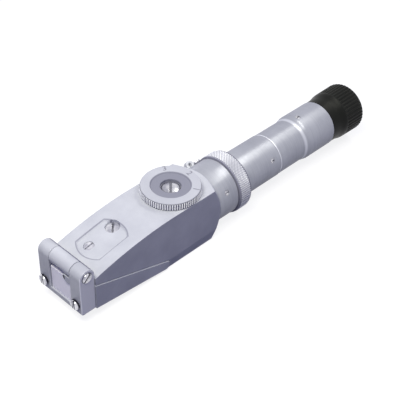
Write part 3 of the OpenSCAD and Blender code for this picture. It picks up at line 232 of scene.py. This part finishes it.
def paintedCornerHighlight(f):
    # painted highlight along the front corners of the legs
    x, y = f.axes("XY")
    corner = f.band(y.math("ABSOLUTE"), *bracketFaces["corner"])
    return corner * f.fall(x, *bracketFaces["cornerEnd"]) * bracketFaces["cornerShare"]


def paintedClipShadow(f):
    # painted shadow on the window's clip, under the hinge's barrel
    return f.box(clipShadowBox)


def makeSatinPlate(name, marks=(), **changed):
    # marks are pairs of a place and the painted light or shade that it has
    s = dict(satinPlate, **changed)
    f = Finish(name)
    cloud = f.noise(f.place(), s["cloudScale"], detail=4.0, rough=0.55)
    fine = f.noise(f.place(s["stretch"]), s["grainScale"], detail=3.0, rough=0.6)
    scuff = f.noise(f.place(), s["scuffScale"], detail=5.0, rough=0.7)
    scuff = f.spread(scuff, 0, 1, *s["scuffRange"])
    base = f.tint(f.spread(cloud * 0.75 + fine * 0.25, 0, 1, *narrowMiddle), s["pale"], s["deep"])
    base = f.tint(scuff * s["scuffShare"], base, s["deep"])
    for place, paintedTone in marks:
        base = f.tint(place(f), base, s[paintedTone])
    uneven = cloud * 0.4 + fine * 0.45 + scuff * 0.15
    return f.shade(Base_Color=base, Metallic=s["metallic"], Specular_IOR_Level=s["shine"],
                   Roughness=f.spread(uneven, s["roughLow"], s["roughHigh"], *s["roughRange"]),
                   Normal=f.bump(fine * s["grain"], s["grainDepth"]))


satinTube = dict(
    # the last tone is a painted highlight on the tube's joint and cone
    satinPlate, pale=colour(172, 174, 182), deep=colour(152, 154, 163), paintedHighlight=colour(226, 228, 235),
    metallic=0.38, shine=0.0, roughLow=0.3, roughHigh=0.36,
    lineScale=2600, lineStretch=(1, 0.012, 0.012),
    joint=(69.35, 69.7, 0.05), cone=(88.8, 89.6, 0.9), coneShare=0.55,
)


def makeTurnedMetal(name):
    # fine lines left by the lathe run round the tube, and painted highlights lie on its joint and
    # cone
    s = satinTube
    f = Finish(name)
    cloud = f.noise(f.place(), s["cloudScale"], detail=4.0, rough=0.55)
    line = f.noise(f.place(s["lineStretch"]), s["lineScale"], rough=0.6)
    grain = f.noise(f.place(), s["grainScale"])
    base = f.tint(f.spread(cloud * 0.6 + line * 0.4, 0, 1, *narrowMiddle), s["pale"], s["deep"])
    highlightBands = f.box({"X": s["joint"]}) + f.box({"X": s["cone"]}) * s["coneShare"]
    uneven = cloud * 0.4 + line * 0.35 + grain * 0.25
    return f.shade(Base_Color=f.tint(highlightBands, base, s["paintedHighlight"]),
                   Metallic=s["metallic"], Specular_IOR_Level=s["shine"],
                   Roughness=f.spread(uneven, s["roughLow"], s["roughHigh"], *wideMiddle),
                   Normal=f.bump(line * 0.6 + grain * 0.4, s["grainDepth"]))


dialTones = dict(
    # the dish's darker tone is a painted reflection of its turned finish
    satinPlate, rim=colour(194, 196, 201), dish=colour(138, 139, 150),
    dishDeep=colour(128, 129, 142), dishDeepShare=0.3, dishEdge=(9.9, 10.25), ringScale=5200,
    # painted shade in the knurl's grooves and a painted highlight on its crests
    shadedValley=colour(78, 78, 92), valleyEdge=(14.8, 15.05), valleyShare=0.8, knurlEdge=(14.7, 14.74),
    tip=colour(254, 254, 255), crestEdge=(14.86, 15.0), crestMetallic=0.5,
)


def makeDialMetal(name):
    # pale rim and knurl, with painted shade in the knurl's grooves and a painted highlight on its
    # crests, and a darker dish that is turned in fine rings, its darker tone a painted reflection
    s = dialTones
    f = Finish(name)
    radius = f.radius()
    inside = f.fall(radius, *s["dishEdge"])
    cloud = f.noise(f.place(), s["cloudScale"], detail=4.0, rough=0.55)
    outward = f.node("ShaderNodeCombineXYZ", {}, {"X": radius})
    ring = f.noise(outward, s["ringScale"], rough=0.6)
    grain = f.noise(f.place(), s["grainScale"])
    # the dish is painted darker, as a painted reflection
    base = f.tint(inside, s["rim"], s["dish"])
    patches = f.spread(cloud * 0.5 + ring * 0.5, 0, s["dishDeepShare"], *narrowMiddle)
    base = f.tint(patches, base, s["dishDeep"])
    # painted shade in the knurl's grooves and a painted highlight on its crests
    shadedValley = f.fall(radius, *s["valleyEdge"]) * f.rise(radius, *s["knurlEdge"]) * s["valleyShare"]
    crest = f.rise(radius, *s["crestEdge"])
    base = f.tint(crest, f.tint(shadedValley, base, s["shadedValley"]), s["tip"])
    uneven = ring * 0.5 + grain * 0.5
    return f.shade(Base_Color=base, Metallic=crest * s["crestMetallic"],
                   Specular_IOR_Level=s["shine"],
                   Roughness=f.spread(uneven, s["roughLow"], s["roughHigh"], *wideMiddle),
                   Normal=f.bump(ring * inside + grain * 0.5, s["grainDepth"]))


knurlTones = dict(
    # painted shade in the knurl's valleys and a painted highlight on its tips
    satinPlate, shadedValley=colour(84, 84, 100), tip=colour(246, 247, 250), bevel=colour(150, 150, 163),
    tipShare=0.6, knurlEdge=(15.6, 15.7), valleyEdge=(15.72, 15.98), bevelEdge=(34.0, 34.15),
    crestEdge=(15.85, 16.05), crestMetallic=0.35,
)


def makeKnurledMetal(name):
    # painted highlights on the tips over painted shade in the valleys, and a darker bevel in front
    s = knurlTones
    f = Finish(name)
    radius = f.radius("YZ", axisHeight)
    cloud = f.noise(f.place(), s["cloudScale"], detail=4.0, rough=0.55)
    grain = f.noise(f.place(), s["grainScale"])
    base = f.tint(f.spread(cloud, 0, s["tipShare"], *narrowMiddle), s["tip"], s["pale"])
    # painted shade in the valleys
    shadedValley = f.fall(radius, *s["valleyEdge"]) * f.rise(radius, *s["knurlEdge"])
    base = f.tint(shadedValley, base, s["shadedValley"])
    base = f.tint(f.fall(f.axes("X")[0], *s["bevelEdge"]), base, s["bevel"])
    uneven = cloud * 0.5 + grain * 0.5
    return f.shade(Base_Color=base, Specular_IOR_Level=s["shine"],
                   Metallic=f.rise(radius, *s["crestEdge"]) * s["crestMetallic"],
                   Roughness=f.spread(uneven, s["roughLow"], s["roughHigh"], *wideMiddle),
                   Normal=f.bump(grain, s["grainDepth"]))


# the dark and bright patches are partly tarnish and partly painted reflection
brightSteel = {
    "pale": colour(204, 204, 210), "deep": colour(140, 140, 152), "roughLow": 0.2, "roughHigh": 0.3,
    "metallic": 0.95, "patchScale": 340, "patchRange": (0.38, 0.62), "fineScale": 2400,
    "fineDepth": 0.0006 * mm, "slotEdge": (0.05, 0.15),
}
# each head's direction, its slot's floor along it in mm, the tone of the painted shade below that
# and the gloss
slottedHeads = {
    "dial_screw": {"lean": (0, 0, 1), "floor": 33.55, "paintedTone": 120, "metallic": 0.8},
    "adjusting_screw": {"lean": (-0.19, 0, 0.98), "floor": 32.33, "paintedTone": 128, "metallic": 0.45},
    "clamp_screw": {"lean": (-0.19, 0, 0.98), "floor": 33.43, "paintedTone": 168, "metallic": 0.3},
    "hinge_pin": {"lean": (0, -1, 0), "floor": 14.3, "paintedTone": 76, "metallic": 0.95},
    "bracket_screws": {"lean": (-1, 0, 0), "floor": 70.3, "paintedTone": 66, "metallic": 0.95},
    "strap_lug_screw": {"lean": (0, 0.809, 0.588), "floor": 24.92, "paintedTone": 120, "metallic": 0.4},
}
headTones = {"pale": colour(210, 210, 216), "deep": colour(158, 158, 170)}


def makeBrightSteel(name, head=None, **changed):
    s = dict(brightSteel, **changed)
    f = Finish(name)
    # patches of tarnish and painted reflection
    tarnishAndReflection = f.noise(f.place(), s["patchScale"], detail=3.0)
    fine = f.noise(f.place(), s["fineScale"])
    base = f.tint(f.spread(tarnishAndReflection, 0, 1, *s["patchRange"]), s["pale"], s["deep"])
    if head:
        spot = f.node("ShaderNodeTexCoord", output="Object")
        height = f.node("ShaderNodeVectorMath", {"operation": "DOT_PRODUCT"},
                        {0: spot, 1: head["lean"]}, "Value")
        first, last = (head["floor"] + edge for edge in s["slotEdge"])
        paintedTone = head["paintedTone"]
        # painted shade in the slot, below its floor
        base = f.tint(f.fall(height, first, last), base, colour(paintedTone, paintedTone, paintedTone + 10))
    uneven = tarnishAndReflection * 0.5 + fine * 0.5
    return f.shade(Base_Color=base, Metallic=s["metallic"],
                   Roughness=f.spread(uneven, s["roughLow"], s["roughHigh"], *wideMiddle),
                   Normal=f.bump(fine, s["fineDepth"]))


moulded = {
    "pale": colour(22, 23, 21), "deep": colour(13, 14, 13), "dust": colour(86, 86, 82),
    "dustScale": 700, "dustRange": (0.6, 0.8), "dustShare": 0.2, "cloudScale": 70,
    "grainScale": 2600, "grainDepth": 0.012 * mm, "roughLow": 0.3, "roughHigh": 0.42, "shine": 0.1,
}


def makeMoulded(name, **changed):
    # an even, fine-grained surface, as of plastic, rubber, ink or a frosted plate
    s = dict(moulded, **changed)
    f = Finish(name)
    cloud = f.noise(f.place(), s["cloudScale"], detail=3.0)
    grain = f.noise(f.place(), s["grainScale"], detail=3.0, rough=0.6)
    dust = f.noise(f.place(), s["dustScale"], detail=5.0, rough=0.7)
    dust = f.spread(dust, 0, 1, *s["dustRange"]) * s["dustShare"]
    base = f.tint(f.spread(cloud * 0.6 + grain * 0.4, 0, 1, *narrowMiddle), s["deep"], s["pale"])
    uneven = grain * 0.5 + cloud * 0.5
    return f.shade(Base_Color=f.tint(dust, base, s["dust"]),
                   Metallic=0.0, Specular_IOR_Level=s["shine"],
                   Roughness=f.spread(uneven, s["roughLow"], s["roughHigh"], *wideMiddle),
                   Normal=f.bump(grain, s["grainDepth"]))


glass = {
    "clear": (0.93, 0.97, 0.97, 1), "smeared": (0.8928, 0.9312, 0.9312, 1), "bending": 1.52,
    "smearScale": 180, "smearRange": (0.35, 0.75), "smearDepth": 0.0008 * mm,
    "roughLow": 0.01, "roughHigh": 0.05,
}


def makeGlass(name):
    s = glass
    f = Finish(name)
    smear = f.noise(f.place(), s["smearScale"], detail=4.0, rough=0.6)
    base = f.tint(f.spread(smear, 0, 1, *wideMiddle), s["clear"], s["smeared"])
    return f.shade(Base_Color=base,
                   Roughness=f.spread(smear, s["roughLow"], s["roughHigh"], *s["smearRange"]),
                   Transmission_Weight=1.0, IOR=s["bending"],
                   Normal=f.bump(smear, s["smearDepth"]))


finishes = {
    # painted shade round the recess's rim and behind the hinge's barrel
    "satin_body": makeSatinPlate("satinBody", [(paintedBodyShade, "seam")]),
    "satin_tube": makeTurnedMetal("satinTube"),
    "bright_steel": makeBrightSteel("brightSteel"),
    "brass_bush": makeBrightSteel("brassBush", pale=colour(206, 172, 104),
                                  deep=colour(176, 142, 80), roughLow=0.25, roughHigh=0.4),
    "black_anodised": makeSatinPlate("blackAnodised", pale=colour(46, 46, 50),
                                     deep=colour(34, 34, 38), metallic=0.2,
                                     roughLow=0.45, roughHigh=0.6),
    "black_plastic": makeMoulded("blackPlastic"),
    "black_rubber": makeMoulded("blackRubber", pale=colour(40, 40, 40), deep=colour(26, 26, 26),
                                roughLow=0.6, roughHigh=0.8),
    "optical_glass": makeGlass("opticalGlass"),
    "frosted_glass": makeMoulded("frostedGlass", pale=colour(252, 250, 255),
                                 deep=colour(240, 237, 247), roughHigh=0.45, grainScale=3200,
                                 grainDepth=0.006 * mm, shine=0.7),
}
knurledMetal = makeKnurledMetal("knurledMetal")
dialMetal = makeDialMetal("dialMetal")
inkGrey = makeMoulded("inkGrey", pale=colour(132, 132, 142), deep=colour(116, 116, 126),
                      roughLow=0.5, roughHigh=0.65)
# pieces whose finish differs from that of their slot
ownFinish = {
    # painted shade behind the hinge's barrel, painted light on the legs' outer faces and a painted
    # highlight on their front corners
    "front_bracket": makeSatinPlate(
        "brushedBracket", [(paintedHingeShade, "seam"), (paintedLitSides, "side"), (paintedCornerHighlight, "paintedHighlight")],
        stretch=(1, 1, 0.03), grain=1.4, metallic=0.1, shine=0.15,
        pale=colour(190, 192, 198), deep=colour(170, 172, 180)),
    "strap_lug": makeSatinPlate("lugMetal", metallic=0.12, shine=0.2, roughLow=0.3, roughHigh=0.4),
    # the clip's painted shadow is nearly black
    "window_clip": makeSatinPlate("clipMetal", [(paintedClipShadow, "seam")], seam=colour(34, 34, 42)),
}
for node, head in slottedHeads.items():
    ownFinish[node] = makeBrightSteel(node + "Steel", head, metallic=head["metallic"], **headTones)
for node, thing in frame["nodes"].items():
    thing.data.materials.clear()
    thing.data.materials.append(finishes[slotOf[node]])
print("finishes:", len(bpy.data.materials))


def finishPiece(name, bm, node, material=None, smooth=32, replaced=True, weighted=True):
    # closes a bmesh into a shown piece on its CAD body
    bmesh.ops.triangulate(bm, faces=[f for f in bm.faces if len(f.verts) > 4])
    mesh = bpy.data.meshes.new(name)
    bm.to_mesh(mesh)
    bm.free()
    mesh.materials.append(material or finishes[slotOf[node]])
    mesh.shade_smooth()
    mesh.set_sharp_from_angle(angle=math.radians(smooth))
    piece = bpy.data.objects.new(name, mesh)
    scene.collection.objects.link(piece)
    if weighted:
        modifier = piece.modifiers.new("evenShading", "WEIGHTED_NORMAL")
        modifier.keep_sharp = True
        modifier.weight = 100
    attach(piece, bodyOf[node])
    if replaced:
        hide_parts(node)


flatAngle = math.radians(0.5)  # triangles that meet flatter than this are one face
cornerAngle = math.radians(30)  # edges sharper than this are rounded


def copyOf(node):
    # a CAD node's mesh with its doubles merged and its flat faces whole
    bm = bmesh.new()
    bm.from_mesh(frame["nodes"][node].data)
    bmesh.ops.remove_doubles(bm, verts=bm.verts, dist=touching * mm)
    bmesh.ops.dissolve_degenerate(bm, edges=bm.edges, dist=touching * mm)
    bmesh.ops.dissolve_limit(bm, verts=bm.verts, edges=bm.edges, angle_limit=flatAngle,
                             use_dissolve_boundaries=False)
    return bm


# the width in mm by which a piece's outer corners are rounded
softened = {
    "housing": 0.3, "bottom_cover": 0.2, "rear_collar": 0.15, "strap_lug": 0.25,
    "telescope_tube": 0.1, "eyepiece_tube": 0.1, "front_bracket": 0.45, "lid_casting": 0.12,
    "window_clip": 0.12, "window_plate": 0.15, "measuring_prism": 0.15,
    "illuminating_prism": 0.15, "prism_gasket": 0.1, "dial_screw": 0.15, "adjusting_screw": 0.15,
    "clamp_screw": 0.12, "bracket_screws": 0.5, "hinge_pin": 0.3, "strap_lug_screw": 0.3,
    "collar_grub_screws": 0.1, "tube_grub_screws": 0.1, "guide_screw": 0.12,
    "focus_sleeve": 0.12, "lens_retainer": 0.12, "eyecup_core": 0.1,
}
# edges between these places along x stay sharp, because the housing and the collar meet there
keptSharp = {"housing": (19.8, 1000), "rear_collar": (-1000, 20.2)}


def soften(bm, width, first, last):
    corners = [e for e in bm.edges if len(e.link_faces) == 2 and e.is_convex
               and e.calc_face_angle(0) > cornerAngle
               and not all(first < v.co.x < last for v in e.verts)]
    if corners:
        bmesh.ops.bevel(bm, geom=corners, offset=width, offset_type="OFFSET", segments=2,
                        profile=0.5, affect="EDGES", clamp_overlap=False, material=-1)
    return bm


for node, width in softened.items():
    first, last = keptSharp.get(node, (0, 0))
    bm = soften(copyOf(node), width * mm, first * mm, last * mm)
    finishPiece(node + "_dressed", bm, node, ownFinish.get(node))
print("softened copies:", len(softened))


lockRing = {
    "front": 33.7, "back": 41.5, "outer": 16.1, "bore": 12.05, "bevel": 0.4,
    "around": 84, "rows": 6, "tooth": 0.3,
}


def makeLockRing():
    s = lockRing
    low, high = s["front"] + s["bevel"], s["back"] - s["bevel"]
    root = s["outer"] - s["tooth"]
    bm = bmesh.new()
    bmesh.ops.create_grid(bm, x_segments=s["around"], y_segments=s["rows"], size=1)
    for v in bm.verts:  # the flat net is rolled round the tube
        turn = (v.co.x + 1) * math.pi
        along = low + (v.co.y + 1) / 2 * (high - low)
        v.co = Vector((along, root * math.cos(turn), root * math.sin(turn)))
    bmesh.ops.remove_doubles(bm, verts=bm.verts, dist=touching)
    rims = [e for e in bm.edges if e.is_boundary]
    squares = [e for e in bm.edges if not e.is_boundary]
    bmesh.ops.poke(bm, faces=bm.faces)
    bmesh.ops.dissolve_edges(bm, edges=squares, use_verts=False)
    diamonds = [f for f in bm.faces if len(f.verts) == 4]
    tips = bmesh.ops.poke(bm, faces=diamonds, offset=0)["verts"]
    for v in tips:
        outward = Vector((0, v.co.y, v.co.z)).normalized()
        v.co = Vector((v.co.x, 0, 0)) + outward * s["outer"]
    ends = []
    for rimPlace, face in ((low, s["front"]), (high, s["back"])):
        rim = [e for e in rims if e.is_valid and abs(e.verts[0].co.x - rimPlace) < touching]
        for radius in (s["outer"] - s["bevel"], s["bore"]):
            grown = bmesh.ops.extrude_edge_only(bm, edges=rim)["geom"]
            for v in (g for g in grown if isinstance(g, bmesh.types.BMVert)):
                flat = Vector((0, v.co.y, v.co.z)).normalized() * radius
                v.co = Vector((face, flat.y, flat.z))
            rim = [g for g in grown if isinstance(g, bmesh.types.BMEdge)]
        ends += rim
    bmesh.ops.bridge_loops(bm, edges=ends)
    bmesh.ops.transform(bm, verts=bm.verts,
                        matrix=Matrix.Translation((0, 0, axisHeight)) @ Matrix.Scale(mm, 4))
    bmesh.ops.recalc_face_normals(bm, faces=bm.faces)
    finishPiece("lock_ring_knurled", bm, "lock_ring", knurledMetal, smooth=20, weighted=False)


makeLockRing()
print("knurled ring made")


eyecup = {
    "front": 112.4, "neck": 117.4, "band": 123.0, "edge": 135.3, "end": 137.3, "lip": 130.7,
    "floor": 129.3, "coreR": 12.05, "neckR": 12.45, "bandR": 12.65, "cupR": 13.6, "rearR": 13.8,
    "edgeR": 2.0, "mouthR": 11.2, "floorR": 8.8,
    "swell": (0.25, 0.5, 0.75, 0.92), "bandRise": ((0, 0), (0.35, 0.01), (1.2, 0.02)),
    "roundAngles": (72, 54, 36, 18, 0), "frontBreak": 0.2, "mouthBreak": 0.25, "lipBreak": 0.3,
    "floorBreak": 0.2, "ribs": 44, "ribShares": (1, 1, 0.45, 0, 0, 0.45), "ribMargin": 0.3,
    "grooveDepth": 0.5, "grooveRunout": 0.2,
}


def eyecupProfile():
    # places along the axis with their radii, once round the section
    s = eyecup
    line = [(s["front"] + s["frontBreak"], s["neckR"]), (s["neck"], s["bandR"])]
    for t in s["swell"]:
        eased = t * t * (3 - 2 * t)
        line.append((s["neck"] + (s["band"] - s["neck"]) * t,
                     s["bandR"] + (s["cupR"] - s["bandR"]) * eased))
    line += [(s["band"] + along, s["cupR"] + rise) for along, rise in s["bandRise"]]
    line.append((s["edge"], s["rearR"]))
    for angle in s["roundAngles"]:
        a = math.radians(angle)
        line.append((s["edge"] + s["edgeR"] * math.cos(a),
                     s["rearR"] - s["edgeR"] + s["edgeR"] * math.sin(a)))
    line += [(s["end"], s["mouthR"] + s["mouthBreak"]), (s["end"] - s["mouthBreak"], s["mouthR"])]
    line += [(s["lip"], s["floorR"] + s["lipBreak"]), (s["lip"] - s["lipBreak"], s["floorR"])]
    line.append((s["floor"] + s["floorBreak"], s["floorR"]))
    line.append((s["floor"], s["floorR"] + s["floorBreak"]))
    line += [(s["floor"], s["coreR"]), (s["front"], s["coreR"])]
    line.append((s["front"], s["neckR"] - s["frontBreak"]))
    return line


def makeEyecup():
    s = eyecup
    bm = bmesh.new()
    ring = [bm.verts.new((x, 0, r)) for x, r in eyecupProfile()]
    edges = [bm.edges.new((a, b)) for a, b in zip(ring, ring[1:] + ring[:1])]
    steps = s["ribs"] * len(s["ribShares"])
    bmesh.ops.spin(bm, geom=ring + edges, cent=(0, 0, 0), axis=(1, 0, 0), angle=math.tau,
                   steps=steps, use_merge=True, use_duplicate=False)
    bmesh.ops.remove_doubles(bm, verts=bm.verts, dist=touching)
    widening = (s["rearR"] - s["cupR"]) / (s["edge"] - s["band"])
    for v in bm.verts:  # the grooves are pressed in between the ribs
        radius = math.hypot(v.co.y, v.co.z)
        if v.co.x < s["band"] + s["ribMargin"] or radius < s["mouthR"] + s["ribMargin"]:
            continue
        step = round(math.atan2(v.co.y, v.co.z) / math.tau * steps) % len(s["ribShares"])
        bottom = s["cupR"] - s["grooveDepth"] + widening * (v.co.x - s["band"])
        if v.co.x > s["edge"]:
            runout = s["grooveRunout"] * (v.co.x - s["edge"]) / s["edgeR"]
            bottom = s["rearR"] - s["grooveDepth"] - runout
        pressed = radius - max(0, radius - bottom) * s["ribShares"][step]
        v.co.y *= pressed / radius
        v.co.z *= pressed / radius
    bmesh.ops.transform(bm, verts=bm.verts,
                        matrix=Matrix.Translation((0, 0, axisHeight)) @ Matrix.Scale(mm, 4))
    bmesh.ops.recalc_face_normals(bm, faces=bm.faces)
    finishPiece("eyecup_ribbed", bm, "eyecup", smooth=40, weighted=False)


makeEyecup()
print("eyecup made")


dial = {
    "bottom": 31.5, "top": 35.4, "outer": 15.1, "plain": 14.7, "grooves": 80, "depth": 0.35,
    "lowBand": 0.1, "topBand": 0.5, "dish": 10.2, "dishFloor": 9.6, "dishDepth": 0.8,
    "hole": 5.2, "holeDepth": 1.5, "square": 3.9, "ball": 1.1, "ballRing": 13.5,
    "ballHeight": 30.7, "ballAngles": (-15, 45, 105), "edge": 0.18,
}


def carve(bm, cutter):
    # takes the cutter's volume out of the piece
    things = []
    for name, shape in (("carved", bm), ("cutter", cutter)):
        mesh = bpy.data.meshes.new(name)
        shape.to_mesh(mesh)
        things.append(bpy.data.objects.new(name, mesh))
        scene.collection.objects.link(things[-1])
    modifier = things[0].modifiers.new("carve", "BOOLEAN")
    modifier.operation = "DIFFERENCE"
    modifier.solver = "EXACT"
    modifier.object = things[1]
    bpy.context.view_layer.update()
    cut = things[0].evaluated_get(bpy.context.evaluated_depsgraph_get())
    mesh = bpy.data.meshes.new_from_object(cut)
    bm.clear()
    bm.from_mesh(mesh)
    cutter.free()
    bpy.data.meshes.remove(mesh)
    for thing in things:
        bpy.data.meshes.remove(thing.data)


def dialProfile():
    # radii with their heights, from the underside's middle out, up and in to the screw's seat
    s = dial
    e = s["edge"]
    floor = s["top"] - s["dishDepth"]
    seat = floor - s["holeDepth"]
    low, high = s["bottom"] + s["lowBand"], s["top"] - s["topBand"]
    line = [(0, s["bottom"]), (s["plain"] - e, s["bottom"]), (s["plain"], s["bottom"] + e)]
    line += [(s["plain"], low), (s["outer"] - e, low), (s["outer"], low + e)]
    line += [(s["outer"], high - e), (s["outer"] - e, high), (s["plain"], high)]
    line += [(s["plain"], s["top"] - e), (s["plain"] - e, s["top"]), (s["dish"] + e, s["top"])]
    line += [(s["dish"] - 0.3 * e, s["top"] - 0.5 * e), (s["dishFloor"], floor)]
    line += [(s["hole"] + e, floor), (s["hole"], floor - e), (s["hole"], seat), (0, seat)]
    return line


def makeDial():
    s = dial
    bm = bmesh.new()
    line = [bm.verts.new((r, 0, z)) for r, z in dialProfile()]
    edges = [bm.edges.new(pair) for pair in zip(line, line[1:])]
    steps = 2 * s["grooves"]
    bmesh.ops.spin(bm, geom=line + edges, cent=(0, 0, 0), axis=(0, 0, 1), angle=math.tau,
                   steps=steps, use_merge=True, use_duplicate=False)
    bmesh.ops.remove_doubles(bm, verts=bm.verts, dist=touching)
    bmesh.ops.dissolve_degenerate(bm, edges=bm.edges, dist=touching)
    for v in bm.verts:  # every other line of the knurl is pressed in
        size = math.hypot(v.co.x, v.co.y)
        place = round(math.atan2(v.co.y, v.co.x) / math.tau * steps)
        if size > s["plain"] + touching and place % 2:
            v.co.x *= (size - s["depth"]) / size
            v.co.y *= (size - s["depth"]) / size
    bmesh.ops.recalc_face_normals(bm, faces=bm.faces)
    cutter = bmesh.new()  # the spindle's square, and the pits for the detent's ball
    bmesh.ops.create_cube(cutter, size=s["square"], matrix=Matrix.Translation((0, 0, s["bottom"])))
    for angle in s["ballAngles"]:
        spot = Matrix.Translation((s["ballRing"], 0, s["ballHeight"]))
        bmesh.ops.create_uvsphere(cutter, u_segments=24, v_segments=16, radius=s["ball"],
                                  matrix=Matrix.Rotation(math.radians(angle), 4, "Z") @ spot)
    carve(bm, cutter)
    bmesh.ops.transform(bm, verts=bm.verts, matrix=Matrix.Scale(mm, 4))
    finishPiece("dial_knurled", bm, "dial", dialMetal, smooth=24, weighted=False)


makeDial()
print("dial made")


numerals = {"radius": 12.55, "size": 4.7, "proud": 0.02, "angles": {"1": -60, "2": 0, "3": 60}}


def makeNumerals():
    s = numerals
    bm = bmesh.new()
    upright = Matrix.Rotation(math.radians(-90), 4, "Z")  # the tops point outward
    for word, angle in s["angles"].items():
        curve = bpy.data.curves.new("numeral" + word, "FONT")
        curve.body = word
        curve.size = s["size"]
        curve.extrude = s["proud"]
        curve.align_x = "CENTER"
        curve.align_y = "CENTER"
        sign = bpy.data.objects.new("numeral" + word, curve)
        scene.collection.objects.link(sign)
        bpy.context.view_layer.update()
        solid = sign.evaluated_get(bpy.context.evaluated_depsgraph_get())
        mesh = bpy.data.meshes.new_from_object(solid)
        turn = Matrix.Rotation(math.radians(angle), 4, "Z")
        spot = Matrix.Translation((s["radius"], 0, dial["top"]))
        mesh.transform(Matrix.Scale(mm, 4) @ turn @ spot @ upright)
        bm.from_mesh(mesh)
        bpy.data.objects.remove(sign)
        bpy.data.meshes.remove(mesh)
    bmesh.ops.remove_doubles(bm, verts=bm.verts, dist=touching * mm)
    bmesh.ops.recalc_face_normals(bm, faces=bm.faces)
    finishPiece("dial_numerals", bm, "dial", inkGrey, replaced=False, weighted=False)


makeNumerals()
print("numerals made")


studio = {
    "floorPale": (0.22, 0.22, 0.225, 1), "floorCloud": (0.205, 0.205, 0.21, 1),
    "floorSize": 4, "mottleScale": 3.0, "floorGlow": 0.84, "floorDim": (0.02, 0.02, 0.05, 1),
    "ambient": (0.105, 0.11, 0.33, 1), "black": (0, 0, 0, 1), "white": (1, 1, 1, 1),
}
lamps = {
    "topBox": {"place": (-0.25, -0.085, 0.6), "aim": (-0.02, 0, 0.02), "size": (0.5, 0.16),
               "power": 4.35, "tint": (1, 0.99, 0.87)},
    "rearBox": {"place": (0.4, -0.085, 0.6), "aim": (0.08, 0, 0.02), "size": (0.5, 0.1),
                "power": 1.7, "tint": (1, 0.99, 0.87)},
    "farBox": {"place": (0.05, 0.6, 0.12), "aim": (0, 0, 0.02), "size": (0.5, 0.2),
               "power": 0.6, "tint": (1, 1, 1)},
    "frontBox": {"place": (-0.62, 0.02, 0.24), "aim": (-0.05, 0, 0.02), "size": (0.35, 0.35),
                 "power": 0.06, "tint": (0.96, 0.97, 1)},
}
view = {
    "place": (-0.25526, -0.26197, 0.33196), "lens": 88.7, "film": 36, "reach": (0.01, 50),
    "right": (0.70289849, -0.71087706, 0.02423886),
    "up": (0.44328999, 0.46445576, 0.76666474),
    "back": (-0.55626226, -0.52814265, 0.64158994),
}


def makeFloor():
    s = studio
    f = Finish("paleFloor")
    seen = f.seen()
    mottle = f.spread(f.noise(f.place(), s["mottleScale"]), 0, 1, *wideMiddle)
    pale = f.tint(mottle, s["floorPale"], s["floorCloud"])
    f.shade(Base_Color=f.tint(seen, s["floorDim"], pale), Roughness=0.9, Specular_IOR_Level=0.0,
            Emission_Color=f.tint(seen, s["black"], s["white"]), Emission_Strength=s["floorGlow"])
    bm = bmesh.new()
    bmesh.ops.create_grid(bm, x_segments=1, y_segments=1, size=s["floorSize"])
    mesh = bpy.data.meshes.new("floor")
    bm.to_mesh(mesh)
    bm.free()
    mesh.materials.append(f.owner)
    floor = bpy.data.objects.new("floor", mesh)
    scene.collection.objects.link(floor)


def makeWorld():
    scene.world = bpy.data.worlds.new("studioWorld")
    f = Finish(scene.world)
    shade = f.tint(f.seen(), studio["ambient"], studio["white"])
    back = f.node("ShaderNodeBackground", {}, {"Color": shade})
    f.node("ShaderNodeOutputWorld", {}, {"Surface": back})


def makeLamp(name):
    s = lamps[name]
    data = bpy.data.lights.new(name, "AREA")
    data.shape = "RECTANGLE"
    data.size, data.size_y = s["size"]
    data.energy = s["power"]
    data.color = s["tint"]
    lamp = bpy.data.objects.new(name, data)
    lamp.location = s["place"]
    lamp.rotation_mode = "QUATERNION"
    lamp.rotation_quaternion = (Vector(s["aim"]) - Vector(s["place"])).to_track_quat("-Z", "Y")
    scene.collection.objects.link(lamp)


def makeCamera():
    s = view
    data = bpy.data.cameras.new("camera")
    data.lens = s["lens"]
    data.sensor_width = s["film"]
    data.clip_start, data.clip_end = s["reach"]
    camera = bpy.data.objects.new("camera", data)
    turn = Matrix((s["right"], s["up"], s["back"])).transposed().to_4x4()
    camera.matrix_world = Matrix.Translation(s["place"]) @ turn
    scene.collection.objects.link(camera)
    scene.camera = camera


makeFloor()
makeWorld()
for name in lamps:
    makeLamp(name)
makeCamera()
scene.view_settings.view_transform = "Standard"
print("studio made")
